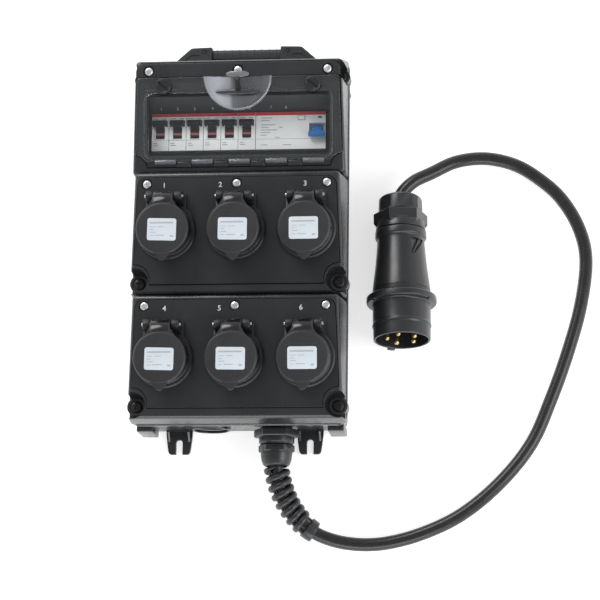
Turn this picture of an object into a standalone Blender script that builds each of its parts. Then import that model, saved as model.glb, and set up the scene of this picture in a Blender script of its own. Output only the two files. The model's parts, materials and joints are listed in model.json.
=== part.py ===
"""Portable power distribution box: a segmented enclosure with a device window,
six lidded socket outlets, a carry handle, a supply lead and a five-pin plug.

The box lies on its back. X is to the right across the front, Y runs up the
front toward the handle and Z points out of the front. The origin is the centre
of the flat back. Lengths are millimetres and become metres in the meshes.
A "height" is measured up the front from the bottom end; y_at() gives its Y.
"""
import math
from collections import namedtuple

import bpy
import bmesh
from mathutils import Matrix, Vector

MM = 0.001
GAP = 0.3  # clearance between neighbouring pieces
SIDES = (-1, 1)  # left, right
WORLD = ((0, 0, 0), (0, 0, 0))  # a frame is a location and a rotation

# enclosure
HALF_H = 195.0  # distance of the bottom end below the origin
HALF_W = 112.5  # half width at the parting plane
PARTING = 65.0  # parting plane above the back
TOP = 389.0  # height of the top end at the parting plane
BACK_HALF_W = 108.5
BACK_BOTTOM, BACK_TOP = 3.0, 383.0  # ends of the flat back
WALL = 3.0
SEGMENT = 130.0  # height of one front segment

# Corner fixings, right-hand side: height, X and radius of the screw ear; X,
# height and radius of the front well; radius the hollow keeps clear of it
Fixing = namedtuple("Fixing", "height x ear_r well_x well_height well_r clear_r")


def large_fixing(height):
    x = 104.5
    return Fixing(height, x, 10.2, x + 1.5, height - 1.5, 13.6, 16.8)


LOW_FIXING = large_fixing(17.5)
MIDDLE_FIXING = large_fixing(LOW_FIXING.height + SEGMENT)
TOP_FIXING = Fixing(368.5, 106.5, 8.4, 108.5, 368.0, 10.0, 13.0)
FIXINGS = (LOW_FIXING, MIDDLE_FIXING, TOP_FIXING)

# Front segments: heights of both ends at the parting plane, the lower and upper
# edges of the front as (half width, height, depth), the fixing, and the socket
# row's distance up the front
Segment = namedtuple("Segment", "bottom top lower upper fixing socket_y", defaults=(None,))
DEVICE_SEG = Segment(2 * SEGMENT - GAP, TOP, (112.0, 260.8, 91.0), (108.4, 378.4, 110.0),
                     TOP_FIXING)
UPPER_SEG = Segment(SEGMENT + GAP, 260.4, (111.3, 131.6, 95.0), (106.5, 259.6, 105.0),
                    MIDDLE_FIXING, 66.5)
LOWER_SEG = Segment(GAP, SEGMENT - GAP, (111.3, 2.2, 95.0), (106.5, 129.2, 105.0),
                    LOW_FIXING, 61.2)

# sockets
SOCKET_X = (-73.0, 0.0, 73.0)
FLANGE_R, BARREL_R, WELL_R, LID_R = 31.0, 25.5, 19.8, 27.4
LID_HINGE_Y, LID_HINGE_Z = 33.0, 21.0  # from the socket's centre on the front
SCREW_X = (-94.0, 0.0, 94.0)  # small screw holes in the front plates

# entries in the bottom end
GLAND_X, OPEN_ENTRY_X, ENTRY_Z = 37.0, -32.0, 32.5
KNOCKOUT_X = (-75.0, 76.0)


def y_at(height):
    """Y of a height above the bottom end."""
    return height - HALF_H


# ---------------------------------------------------------------- materials
def material(name, colour, roughness, metallic=0.0, alpha=1.0):
    mat = bpy.data.materials.new(name)
    mat.use_nodes = True
    shader = mat.node_tree.nodes["Principled BSDF"]
    shader.inputs["Base Color"].default_value = (*colour, 1.0)
    shader.inputs["Roughness"].default_value = roughness
    shader.inputs["Metallic"].default_value = metallic
    shader.inputs["Alpha"].default_value = alpha
    return mat


for thing in list(bpy.data.objects):
    bpy.data.objects.remove(thing, do_unlink=True)

HOUSING = material("housing_plastic", colour=(0.030, 0.031, 0.033), roughness=0.55)
HOOD = material("hood_plastic", colour=(0.034, 0.035, 0.037), roughness=0.5)
PANEL = material("panel_plastic", colour=(0.036, 0.037, 0.039), roughness=0.5)
CLEAR = material("clear_plastic", colour=(0.80, 0.83, 0.84), roughness=0.08, alpha=0.35)
COVER = material("cover_plastic", colour=(0.05, 0.05, 0.055), roughness=0.45)
DEVICE = material("device_plastic", colour=(0.72, 0.73, 0.73), roughness=0.4)
TOGGLE = material("toggle_plastic", colour=(0.03, 0.03, 0.035), roughness=0.4)
BLUE = material("blue_plastic", colour=(0.03, 0.12, 0.42), roughness=0.4)
WHITE = material("white_plastic", colour=(0.8, 0.8, 0.78), roughness=0.4)
SOCKET = material("socket_plastic", colour=(0.028, 0.029, 0.031), roughness=0.45)
LID = material("lid_plastic", colour=(0.030, 0.031, 0.033), roughness=0.4)
HANDLE = material("handle_plastic", colour=(0.028, 0.028, 0.030), roughness=0.4)
GLAND = material("gland_plastic", colour=(0.022, 0.022, 0.024), roughness=0.4)
RUBBER = material("cable_rubber", colour=(0.025, 0.025, 0.027), roughness=0.5)
PLUG = material("plug_plastic", colour=(0.028, 0.028, 0.030), roughness=0.4)
BRASS = material("contact_brass", colour=(0.60, 0.46, 0.22), roughness=0.3, metallic=1.0)
STEEL = material("zinc_steel", colour=(0.60, 0.61, 0.62), roughness=0.35, metallic=1.0)


# ---------------------------------------------------------------- objects
def place(ob, frame):
    location, rotation = frame
    ob.location = Vector(location) * MM
    ob.rotation_euler = rotation


def add(name, bm, mat, frame=WORLD, sharp=35.0):
    """Turns a bmesh in millimetres into an object in metres."""
    bmesh.ops.remove_doubles(bm, verts=bm.verts, dist=0.001)
    bmesh.ops.recalc_face_normals(bm, faces=bm.faces)
    bmesh.ops.scale(bm, vec=(MM, MM, MM), verts=bm.verts)
    mesh = bpy.data.meshes.new(name)
    bm.to_mesh(mesh)
    bm.free()
    mesh.shade_smooth()
    mesh.set_sharp_from_angle(angle=math.radians(sharp))
    mesh.materials.append(mat)
    ob = bpy.data.objects.new(name, mesh)
    bpy.context.scene.collection.objects.link(ob)
    place(ob, frame)
    return ob


def copy_of(ob, name, frame):
    """A second object that shares the mesh."""
    new = bpy.data.objects.new(name, ob.data)
    bpy.context.scene.collection.objects.link(new)
    place(new, frame)


def combine(ob, other, how, label=None):
    """Adds a boolean modifier and hides its helper from the render."""
    other.hide_render = True
    other.display_type = "WIRE"
    mod = ob.modifiers.new(label or how.lower(), "BOOLEAN")
    mod.operation = how
    mod.solver = "EXACT"
    mod.object = other


def helper(ob, name, bm, frame):
    """A helper in ob's material, in ob's own frame unless one is given."""
    other = add(name, bm, ob.data.materials[0], frame or WORLD)
    if frame is None:
        other.location = ob.location
        other.rotation_euler = ob.rotation_euler
    return other


def cut(ob, name, bm, frame=None):
    combine(ob, helper(ob, name, bm, frame), "DIFFERENCE")


def join(ob, name, bm, frame=None):
    combine(ob, helper(ob, name, bm, frame), "UNION")


def bake(ob):
    """Bakes the modifiers into the mesh, so that copies can share it, and
    dissolves the flat faces that the cuts have split."""
    depsgraph = bpy.context.evaluated_depsgraph_get()
    mesh = bpy.data.meshes.new_from_object(ob.evaluated_get(depsgraph))
    used = [mod.object for mod in ob.modifiers]
    ob.modifiers.clear()
    bm = bmesh.new()
    bm.from_mesh(mesh)
    bmesh.ops.remove_doubles(bm, verts=bm.verts, dist=0.01 * MM)
    bmesh.ops.dissolve_limit(bm, angle_limit=math.radians(0.2), verts=bm.verts,
                             edges=bm.edges, use_dissolve_boundaries=False)
    bmesh.ops.triangulate(bm, faces=[f for f in bm.faces if len(f.verts) > 4])
    bm.to_mesh(mesh)
    bm.free()
    ob.data = mesh
    mesh.shade_smooth()
    mesh.set_sharp_from_angle(angle=math.radians(35))
    for other in used:
        bpy.data.objects.remove(other, do_unlink=True)
    return ob


# ---------------------------------------------------------------- outlines
def arc(cx, cy, r, start, end, steps):
    """Points from one angle to another, in degrees, both ends included."""
    angles = [math.radians(start + (end - start) * i / steps) for i in range(steps + 1)]
    return [(cx + r * math.cos(t), cy + r * math.sin(t)) for t in angles]


def rounded(x0, x1, y0, y1, r, steps=3):
    """A rectangle with rounded corners."""
    return (arc(x1 - r, y1 - r, r, 0, 90, steps) + arc(x0 + r, y1 - r, r, 90, 180, steps)
            + arc(x0 + r, y0 + r, r, 180, 270, steps) + arc(x1 - r, y0 + r, r, 270, 360, steps))


def mirrored(half):
    """Closes half an outline with its mirror image across X = 0."""
    return half + [(-x, y) for x, y in reversed(half)]


def side_view(points):
    """(height, z) points as (y, z)."""
    return [(y_at(h), z) for h, z in points]


def end_profile(points):
    """(radius, height) points as (radius, y)."""
    return [(r, y_at(h)) for r, h in points]


# ---------------------------------------------------------------- solids
def skin(rings, closed=False):
    """A tube through rings of points. Its ends are capped unless it is closed."""
    bm = bmesh.new()
    rows = [[bm.verts.new(p) for p in ring] for ring in rings]
    count = len(rows[0])
    pairs = list(zip(rows, rows[1:]))
    if closed:
        pairs.append((rows[-1], rows[0]))
    for a, b in pairs:
        for i in range(count):
            j = (i + 1) % count
            bm.faces.new((a[i], a[j], b[j], b[i]))
    if not closed:
        bm.faces.new(list(reversed(rows[0])))
        bm.faces.new(rows[-1])
    return bm


def block(x0, x1, y0, y1, z0, z1, bevel=0.0):
    bm = skin([[(x0, y0, z), (x1, y0, z), (x1, y1, z), (x0, y1, z)] for z in (z0, z1)])
    if bevel:
        bmesh.ops.bevel(bm, geom=bm.edges[:], offset=bevel, segments=1,
                        profile=0.5, affect="EDGES")
    return bm


def prism(points, start, end, axis="Z"):
    """Extrudes an (x, y) outline along Z, or a (y, z) outline along X."""
    if axis == "X":
        return skin([[(x, y, z) for y, z in points] for x in (start, end)])
    return skin([[(x, y, z) for x, y in points] for z in (start, end)])


def turned(profile, sides, phase=0.0, axis="Z", centre=(0, 0, 0)):
    """Revolves a closed (radius, distance along the axis) outline. Points on
    the axis become one."""
    bm = bmesh.new()
    cx, cy, cz = centre

    def vertex(r, along, angle):
        c, s = r * math.cos(angle), r * math.sin(angle)
        x, y, z = {"Z": (c, s, along), "X": (along, c, s), "Y": (s, along, c)}[axis]
        return bm.verts.new((x + cx, y + cy, z + cz))

    rows = []
    for r, along in profile:
        if r < 1e-6:
            rows.append([vertex(0, along, 0)] * sides)
        else:
            rows.append([vertex(r, along, phase + 2 * math.pi * i / sides)
                         for i in range(sides)])
    for a, b in zip(rows, rows[1:] + rows[:1]):
        for i in range(sides):
            j = (i + 1) % sides
            corners = list(dict.fromkeys((a[i], a[j], b[j], b[i])))
            if len(corners) > 2:
                bm.faces.new(corners)
    return bm


def rod(r, start, end, sides, axis="Z", centre=(0, 0, 0)):
    profile = [(0, start), (r, start), (r, end), (0, end)]
    return turned(profile, sides, axis=axis, centre=centre)


def frustum(seg, inset=0.0):
    """A segment's outside, or with an inset its inside, from the parting
    plane (for the inside, a little behind it) to the sloping front."""
    half_w = HALF_W - inset
    low_z = PARTING - (5 if inset else 0)
    y0, y1 = y_at(seg.bottom + inset), y_at(seg.top - inset)
    base = [(-half_w, y0, low_z), (half_w, y0, low_z), (half_w, y1, low_z), (-half_w, y1, low_z)]
    (w0, h0, z0), (w1, h1, z1) = seg.lower, seg.upper
    w0, y0, z0 = w0 - inset, y_at(h0 + inset), z0 - inset
    w1, y1, z1 = w1 - inset, y_at(h1 - inset), z1 - inset
    bm = skin([base, [(-w0, y0, z0), (w0, y0, z0), (w1, y1, z1), (-w1, y1, z1)]])
    radius, steps = (1.5, 1) if inset else (4.0, 2)
    edges = [e for e in bm.edges if not all(v.co.z == low_z for v in e.verts)]
    bmesh.ops.bevel(bm, geom=edges, offset=radius, segments=steps,
                    profile=0.5, affect="EDGES")
    return bm


def face_frame(seg):
    """Frame of a segment's front: local Y runs up it, local Z out of it."""
    (_, h0, z0), (_, h1, z1) = seg.lower, seg.upper
    return Vector((0, y_at(h0), z0)), (math.atan2(z1 - z0, h1 - h0), 0, 0)


def on_front(seg, x, along, out):
    """The front's frame moved across it, up it and out of it."""
    origin, rotation = face_frame(seg)
    c, s = math.cos(rotation[0]), math.sin(rotation[0])
    return origin + Vector((x, along * c - out * s, along * s + out * c)), rotation


# ---------------------------------------------------------------- rear housing
POST_R = 3.4
LUG_X = 69.5
# half outline of a lug: distance from its centre line, height
LUG = [(-14.3, 8), (-13.8, -2), (-11.8, -18.5), (-10.0, -22.2)]
LUG_SLOT_H = -9  # height the slot is drawn round


def housing_shell():
    rim = PARTING - GAP

    def outline(half_w, bottom, top, r, z, inset=0.0):
        points = rounded(-half_w + inset, half_w - inset, y_at(bottom + inset),
                         y_at(top - inset), r - inset)
        return [(x, y, z) for x, y in points]

    back = (BACK_HALF_W, BACK_BOTTOM, BACK_TOP, 9)
    front = (HALF_W, 0, TOP, 10)
    return skin([outline(*back, 0), outline(*front, rim),
                 outline(*front, rim, WALL), outline(*back, WALL, WALL)])


def rear_housing():
    ob = add("rear_housing", housing_shell(), HOUSING)
    post_top = PARTING - GAP - 0.4
    for side in SIDES:
        # fixing posts that widen under the ears
        for fix in FIXINGS:
            profile = [(0, 1.0), (POST_R, 1.0), (POST_R, 46.0), (fix.ear_r, 56.0),
                       (fix.ear_r, post_top), (0, post_top)]
            join(ob, "post", turned(profile, 14, centre=(side * fix.x, y_at(fix.height), 0)))
        # foot under the bottom end
        foot_x = side * 100
        join(ob, "foot", block(foot_x - 8.5, foot_x + 8.5, y_at(-4.3), y_at(4), 6, 48, 0.8))
        # lug at the back, with a slot open at its end
        lug_x = side * LUG_X
        lug = [(lug_x + x, y_at(h)) for x, h in mirrored(LUG)]
        join(ob, "lug", prism(lug, 0, 5))
        slot = [(lug_x + x, y_at(LUG_SLOT_H) + y) for x, y in rounded(-3.5, 3.5, -22, 2.2, 3.4, 4)]
        cut(ob, "slot", prism(slot, -1, 6))
    bake(ob)
    for side in SIDES:
        for fix in FIXINGS:
            centre = (side * fix.x, y_at(fix.height), 0)
            cut(ob, "screw_hole", rod(2.2, 47.0, 70.0, 6, centre=centre))
    bake(ob)
    # cable entries and ring grooves through the bottom end
    for x, r in ((GLAND_X, 16.4), (OPEN_ENTRY_X, 17.5)):
        cut(ob, "entry", rod(r, y_at(-6), y_at(12), 20, "Y", (x, 0, ENTRY_Z)))
    groove = end_profile([(12.0, -3), (13.2, -3), (13.2, 2.2), (12.0, 2.2)])
    for x in KNOCKOUT_X:
        cut(ob, "knockout", turned(groove, 16, axis="Y", centre=(x, 0, ENTRY_Z)))
    bake(ob)


# ---------------------------------------------------------------- hoods
EAR_TOP = 73.0
WELL_FLOOR = 72.0
HINGE_LUG_X = (-57.0, -18.2, 20.6, 59.5)


def socket_holes(ob, seg, z0, z1):
    """Holes for the barrels of a row of sockets."""
    for x in SOCKET_X:
        hole = rod(BARREL_R + 0.9, z0, z1, 20, centre=(x, seg.socket_y, 0))
        cut(ob, "barrel_hole", hole, face_frame(seg))


def screw_holes(ob, y):
    """Three small holes through a front plate."""
    for x in SCREW_X:
        cut(ob, "screw_recess", rod(3.2, -3, 6, 8, centre=(x, y, 0)))


def hollow(hood, seg):
    """Hollows a segment, keeping clear of its corner wells."""
    inside = add("inside", frustum(seg, WALL), HOOD)
    fix = seg.fixing
    for side in SIDES:
        centre = (side * fix.well_x, y_at(fix.well_height), 0)
        cut(inside, "keep_clear", rod(fix.clear_r, 50.0, 125.0, 12, centre=centre))
    combine(hood, bake(inside), "DIFFERENCE")


def fixing_corners(hood, fixings):
    """Round steps in the front corners, each with a drilled ear at its foot."""
    corners = [(side, fix) for fix in fixings for side in SIDES]
    for side, fix in corners:
        centre = (side * fix.well_x, y_at(fix.well_height), 0)
        cut(hood, "corner_well", rod(fix.well_r, WELL_FLOOR, 130.0, 18, centre=centre))
    bake(hood)
    for side, fix in corners:
        centre = (side * fix.x, y_at(fix.height), 0)
        join(hood, "ear", rod(fix.ear_r, PARTING + 0.2, EAR_TOP, 14, centre=centre))
    bake(hood)
    for side, fix in corners:
        centre = (side * fix.x, y_at(fix.height), 0)
        cut(hood, "screw_hole", rod(2.6, 50, 80, 6, centre=centre))
    bake(hood)


def upper_front_hood():
    """The device segment and the upper socket segment in one piece."""
    ob = add("upper_front_hood", frustum(DEVICE_SEG), HOOD)
    join(ob, "upper_segment", frustum(UPPER_SEG))
    bake(ob)
    for seg in (DEVICE_SEG, UPPER_SEG):
        hollow(ob, seg)
    bake(ob)
    fixing_corners(ob, (MIDDLE_FIXING, TOP_FIXING))
    window = prism(rounded(-96, 96, 18.9, 86.2, 3, 2), -12, 8)
    cut(ob, "window_opening", window, face_frame(DEVICE_SEG))
    socket_holes(ob, UPPER_SEG, -8, 5)
    bake(ob)
    # hinge lugs between the flap's knuckles
    for x in HINGE_LUG_X:
        lug = block(x - 7.3, x + 7.3, 6.7, 12.9, -1.0, 4.2, 0.6)
        join(ob, "hinge_lug", lug, face_frame(DEVICE_SEG))
    bake(ob)


def lower_front_hood():
    ob = add("lower_front_hood", frustum(LOWER_SEG), HOOD)
    hollow(ob, LOWER_SEG)
    bake(ob)
    fixing_corners(ob, (LOW_FIXING,))
    socket_holes(ob, LOWER_SEG, -8, 5)
    bake(ob)


def socket_panel(name, seg):
    """The raised plate of a socket segment: rounded at the top corners and
    scooped round the fixings at the bottom ones."""
    bottom, top = 10.5, 122.0
    top_half_w, bottom_half_w = 103.5, 107.0
    corner_r = 10.0
    scoop = arc(LOW_FIXING.well_x, 16.0, 15.8, 84, 193, 6)
    half = arc(top_half_w - corner_r, top - corner_r, corner_r, 90, 0, 4)
    half += [(min(x, bottom_half_w), y) for x, y in scoop]
    half.append((half[-1][0] - 0.4, bottom))
    ob = add(name, prism(mirrored(half), GAP, 2.0), PANEL, face_frame(seg))
    socket_holes(ob, seg, -3, 6)
    screw_holes(ob, 115.5)


def top_strip():
    """The screwed plate above the flap."""
    half = [(107.2, 101.9), (106.9, 110.6), (101.8, 116.6)]
    ob = add("top_strip", prism(mirrored(half), GAP, 1.9), HOOD, face_frame(DEVICE_SEG))
    screw_holes(ob, 108.2)


def latch_staple():
    """The padlock staple that stands through the flap."""
    # up the front, out of it
    outline = [(86.0, GAP), (86.0, 9.0), (88.5, 12.0), (97.0, 12.0), (99.5, 9.0), (99.5, GAP)]
    ob = add("latch_staple", prism(outline, -1.5, 1.5, "X"), COVER, face_frame(DEVICE_SEG))
    cut(ob, "padlock_hole", rod(2.6, -4, 4, 14, "X", (0, 92.5, 7.6)))


# ---------------------------------------------------------------- clear flap
HINGE_Y, HINGE_Z = 12.5, 3.6  # hinge line: up the device front, out of it
FLAP_H = 88.5  # from the hinge line to the free edge
KNUCKLE_X = (-76.5, -37.6, 1.2, 40.0, 78.9)
KNUCKLE_HALF_W = 11.0
KNOB_X, KNOB_Y = 78.5, 79.5  # from the middle of the hinge line
KNOB_SHANK_R = 4.0


def clear_flap():
    """The window flap, with its origin on the hinge line and its lower
    corners scooped like those of the panels below."""
    half = [(104.5, FLAP_H), (106.0, FLAP_H - 2.0)]
    half += arc(109.5, -5.5, 13.6, 95, 150, 4)
    half.append((97.4, 1.2))
    frame = on_front(DEVICE_SEG, 0, HINGE_Y, HINGE_Z)
    ob = add("clear_flap", prism(mirrored(half), -2.6, 0.4), CLEAR, frame)
    for x in KNUCKLE_X:
        join(ob, "knuckle", rod(2.8, x - KNUCKLE_HALF_W, x + KNUCKLE_HALF_W, 10, "X"))
    # raised grip, the lower half of a disc
    disc = [(0, -0.5), (35, -0.5), (35, 1.6), (32, 4.2), (0, 4.2)]
    grip = add("grip", turned(disc, 28, centre=(0, FLAP_H + 1.0, 0)), CLEAR, frame)
    lower = add("grip_half", block(-40, 40, FLAP_H - 42, FLAP_H, -3, 8), CLEAR, frame)
    combine(grip, lower, "INTERSECT", label="half")
    combine(ob, grip, "UNION")
    cut(ob, "staple_slot", block(-3.2, 3.2, 71.5, 89.0, -6, 9))
    for side in SIDES:
        hole = rod(KNOB_SHANK_R + 0.4, -6, 6, 12, centre=(side * KNOB_X, KNOB_Y, 0))
        cut(ob, "knob_hole", hole)


def flap_knob(name, side):
    profile = [(0, -2.9), (KNOB_SHANK_R, -2.9), (KNOB_SHANK_R, 0.7), (8.7, 0.7),
               (8.7, 4.0), (7.9, 5.0), (0, 5.0)]
    frame = on_front(DEVICE_SEG, side * KNOB_X, HINGE_Y + KNOB_Y, HINGE_Z)
    ob = add(name, turned(profile, 16), COVER, frame)
    cut(ob, "knob_slot", block(-7.0, 7.0, -1.1, 1.1, 3.2, 7.0))


# ---------------------------------------------------------------- devices
MODULE = 18.4  # pitch of the breakers
BREAKERS = 6
ROW_X = -95.2  # left end of the row of devices
RAIL_TOP = 10.2
NOSE_BOTTOM, NOSE_TOP, NOSE_Z = 290.5, 331.1, 75.0  # heights and front of the device noses
TOGGLE_H, RCD_TOGGLE_H = 310.3, 311.0
TOGGLE_Z = 70.5  # pivots of the toggles
RCD_TOGGLE_X = 80.3


def device_cover():
    """The dark plate behind the window, with the slot the devices look through."""
    plate = block(-104.0, 104.0, y_at(267.0), y_at(348.0), 66.5, 69.0)
    ob = add("device_cover", plate, COVER)
    cut(ob, "device_slot", block(-96.2, 90.6, y_at(289.8), y_at(331.8), 60, 75))
    # the sloping hood above the devices
    slope = side_view([(332.2, 68.0), (332.2, 71.5), (346.5, 86.0), (346.5, 68.0)])
    join(ob, "slope", prism(slope, -97.0, 97.0, "X"))


def din_rail():
    """A hat-shaped rail on the floor of the housing."""
    floor = WALL + GAP
    outline = side_view([
        (290.0, RAIL_TOP - 1.0), (297.5, RAIL_TOP - 1.0), (297.5, floor),
        (318.5, floor), (318.5, RAIL_TOP - 1.0), (325.0, RAIL_TOP - 1.0),
        (325.0, RAIL_TOP), (317.5, RAIL_TOP), (317.5, floor + 1.0),
        (298.5, floor + 1.0), (298.5, RAIL_TOP), (290.0, RAIL_TOP)])
    add("din_rail", prism(outline, -93.0, 93.0, "X"), STEEL)


def device_body(x0, x1):
    """The stepped body that the breakers and the residual device share."""
    z = RAIL_TOP + GAP
    outline = side_view([
        (265, z), (350, z), (350, 48), (NOSE_TOP, 53), (NOSE_TOP, NOSE_Z),
        (NOSE_BOTTOM, NOSE_Z), (NOSE_BOTTOM, 53), (265, 48)])
    return prism(outline, x0, x1, "X")


def toggle_slot(x0, x1, height):
    return block(x0, x1, y_at(height - 7.6), y_at(height + 7.6), TOGGLE_Z - 6.2, NOSE_Z + 2)


def breaker_x(i):
    return ROW_X + MODULE * (i + 0.5)


def breakers():
    half_w = MODULE / 2 - 0.2
    frame = ((breaker_x(0), 0, 0), (0, 0, 0))
    first = add("breaker_1", device_body(-half_w, half_w), DEVICE, frame)
    cut(first, "toggle_slot", toggle_slot(-5.0, 5.0, TOGGLE_H))
    cut(first, "line_groove", block(-10, 10, y_at(301.5), y_at(302.1), NOSE_Z - 0.6, NOSE_Z + 2))
    bake(first)
    for i in range(1, BREAKERS):
        copy_of(first, "breaker_%d" % (i + 1), ((breaker_x(i), 0, 0), (0, 0, 0)))


def lever(name, mat, location, bar_w, drum_w, tilt, reach):
    """A rocking toggle: drum on its pivot, stem and cross bar. A positive
    tilt, in degrees, leans it toward the top end."""
    ob = add(name, rod(5.2, -drum_w / 2, drum_w / 2, 10, "X"), mat, (location, (0, 0, 0)))
    stem = block(-drum_w / 2 + 0.4, drum_w / 2 - 0.4, -1.7, 1.7, 0, reach - 1.0)
    head = block(-bar_w / 2, bar_w / 2, -2.3, 2.6, reach - 3.5, reach + 1.0)
    lean = Matrix.Rotation(-math.radians(tilt), 3, "X")
    for part, bm in (("stem", stem), ("head", head)):
        bmesh.ops.rotate(bm, verts=bm.verts, cent=(0, 0, 0), matrix=lean)
        join(ob, part, bm)
    return ob


def breaker_toggles():
    def pivot(i):
        return breaker_x(i), y_at(TOGGLE_H), TOGGLE_Z

    first = bake(lever("breaker_toggle_1", TOGGLE, pivot(0),
                       bar_w=14.6, drum_w=9.0, tilt=36, reach=15.5))
    for i in range(1, BREAKERS):
        copy_of(first, "breaker_toggle_%d" % (i + 1), (pivot(i), (0, 0, 0)))


def residual_device():
    """The wide device at the right of the row, with its toggle and button."""
    left = ROW_X + BREAKERS * MODULE + GAP
    ob = add("residual_breaker", device_body(left, 89.4), DEVICE)
    cut(ob, "rcd_slot", toggle_slot(71.8, 88.6, RCD_TOGGLE_H))
    # the button and the clearance of its well
    x0, x1, low, high = 60.4, 67.2, 322.3, 326.3
    cut(ob, "button_well", block(x0 - 0.4, x1 + 0.4, y_at(low - 0.4), y_at(high + 0.4),
                                 NOSE_Z - 4.5, NOSE_Z + 2))
    lever("residual_toggle", BLUE, (RCD_TOGGLE_X, y_at(RCD_TOGGLE_H), TOGGLE_Z),
          bar_w=17.2, drum_w=10.4, tilt=-30, reach=13.0)
    button = block(x0, x1, y_at(low), y_at(high), NOSE_Z - 2.0, NOSE_Z + 1.8, 0.3)
    add("test_button", button, WHITE)


def terminal_bar():
    bar = block(-60, 60, y_at(222), y_at(232), 8.0, 18.0, 0.5)
    ob = add("terminal_bar", bar, BRASS)
    join(ob, "bar_foot", block(-52, 52, y_at(224), y_at(230), WALL + GAP, 9.0))


# ---------------------------------------------------------------- sockets
# side view of a hinge ear: up the front from the socket's centre, out of it
HINGE_EAR = [(24.5, 3.0), (28.2, 26.0), (31.0, 27.2), (36.5, 26.4), (38.6, 22.0), (38.8, 3.0)]
HINGE_EAR_X, HINGE_EAR_HALF_W = 14.7, 3.8
# side view of the lid's arm round the hinge line
LID_ARM = [(-15.0, 9.4), (-15.0, 13.4), (-3.0, 12.0), (3.6, 5.2), (5.0, 0.4), (3.4, -3.6),
           (-1.0, -5.0), (-4.2, -3.2), (-5.6, 2.4), (-7.0, 8.2)]
LID_ARM_HALF_W = 10.4


def first_socket(frame):
    profile = [(0, -20.0), (BARREL_R - 0.2, -20.0), (BARREL_R, 2.3), (FLANGE_R, 2.3),
               (FLANGE_R, 5.2), (FLANGE_R - 1.4, 6.4), (BARREL_R, 6.4),
               (BARREL_R, 28.0), (WELL_R, 28.0), (WELL_R, 10.0), (0, 10.0)]
    ob = add("socket_1", turned(profile, 18), SOCKET, frame)
    # hinge base and two ears
    join(ob, "hinge_base", prism(rounded(-21.0, 21.0, 14.0, 39.5, 3.0, 1), 2.4, 6.1))
    for side in SIDES:
        x = side * HINGE_EAR_X
        join(ob, "ear", prism(HINGE_EAR, x - HINGE_EAR_HALF_W, x + HINGE_EAR_HALF_W, "X"))
    # two contact entries in the well's floor
    for side in SIDES:
        cut(ob, "contact_entry", rod(2.7, -6.0, 14.0, 6, centre=(side * 9.5, 0, 0)))
    return bake(ob)


def first_lid(frame):
    """A closed lid, with its origin on the hinge line."""
    y, z = -LID_HINGE_Y, -LID_HINGE_Z  # the socket's centre on the front
    profile = [(0, z + 31.6), (24.6, z + 31.6), (24.6, z + 28.5), (LID_R, z + 28.5),
               (LID_R, z + 33.6), (LID_R - 1.6, z + 35.0), (0, z + 35.0)]
    ob = add("socket_lid_1", turned(profile, 18, centre=(0, y - 2.0, 0)), LID, frame)
    join(ob, "arm", prism(LID_ARM, -LID_ARM_HALF_W, LID_ARM_HALF_W, "X"))
    # tab at the free edge
    tab = mirrored([(-9.5, y - 25.0), (-6.0, y - 32.6), (-2.5, y - 35.6)])
    join(ob, "tab", prism(tab, z + 30.2, z + 34.4))
    return bake(ob)


def sockets():
    places = [(seg, x) for seg in (UPPER_SEG, LOWER_SEG) for x in SOCKET_X]
    for number, (seg, x) in enumerate(places, 1):
        centre = on_front(seg, x, seg.socket_y, 0.0)
        hinge = on_front(seg, x, seg.socket_y + LID_HINGE_Y, LID_HINGE_Z)
        if number == 1:
            socket, lid = first_socket(centre), first_lid(hinge)
        else:
            copy_of(socket, "socket_%d" % number, centre)
            copy_of(lid, "socket_lid_%d" % number, hinge)


# ---------------------------------------------------------------- handle
GRIP_LOW, GRIP_HIGH, GRIP_Z0, GRIP_Z1 = 397.9, 412.1, 25.0, 39.0
# outline of a post above the top end: distance from the middle, height
POST = [(76.6, 396.5), (73.4, 401.0), (60.4, 412.5), (58.4, 413.5), (37.6, 414.0),
        (36.8, 413.2)]
POST_OUTER, POST_INNER = 77.4, 36.8  # sides of its foot


def handle_post(name, side):
    rings = []
    for z in (22.0, 42.0):
        # the foot follows the slope of the top end
        foot = BACK_TOP + (TOP - BACK_TOP) * z / PARTING + 0.4
        outline = [(POST_OUTER, foot)] + POST + [(POST_INNER, foot)]
        rings.append([(side * x, y_at(h), z) for x, h in outline])
    ob = add(name, skin(rings), HANDLE)
    # pocket for the end of the grip
    x = side * 40
    cut(ob, "grip_socket", block(x - 6.0, x + 6.0, y_at(GRIP_LOW - 0.5), y_at(GRIP_HIGH + 0.5),
                                 GRIP_Z0 - 0.4, GRIP_Z1 + 0.4))


def handle_grip():
    outline = rounded(y_at(GRIP_LOW), y_at(GRIP_HIGH), GRIP_Z0, GRIP_Z1, 4.4)
    add("handle_grip", prism(outline, -45.0, 45.0, "X"), HANDLE)


# ---------------------------------------------------------------- lead
CABLE_R = 7.0
PLUG_REAR = Vector((164.8, 53.8, 24.4))  # where the lead enters the plug
PLUG_AIM = Vector((168.3, -104.2, 43.4))  # a point ahead on the plug's axis
PLUG_DIR = (PLUG_AIM - PLUG_REAR).normalized()
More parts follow.
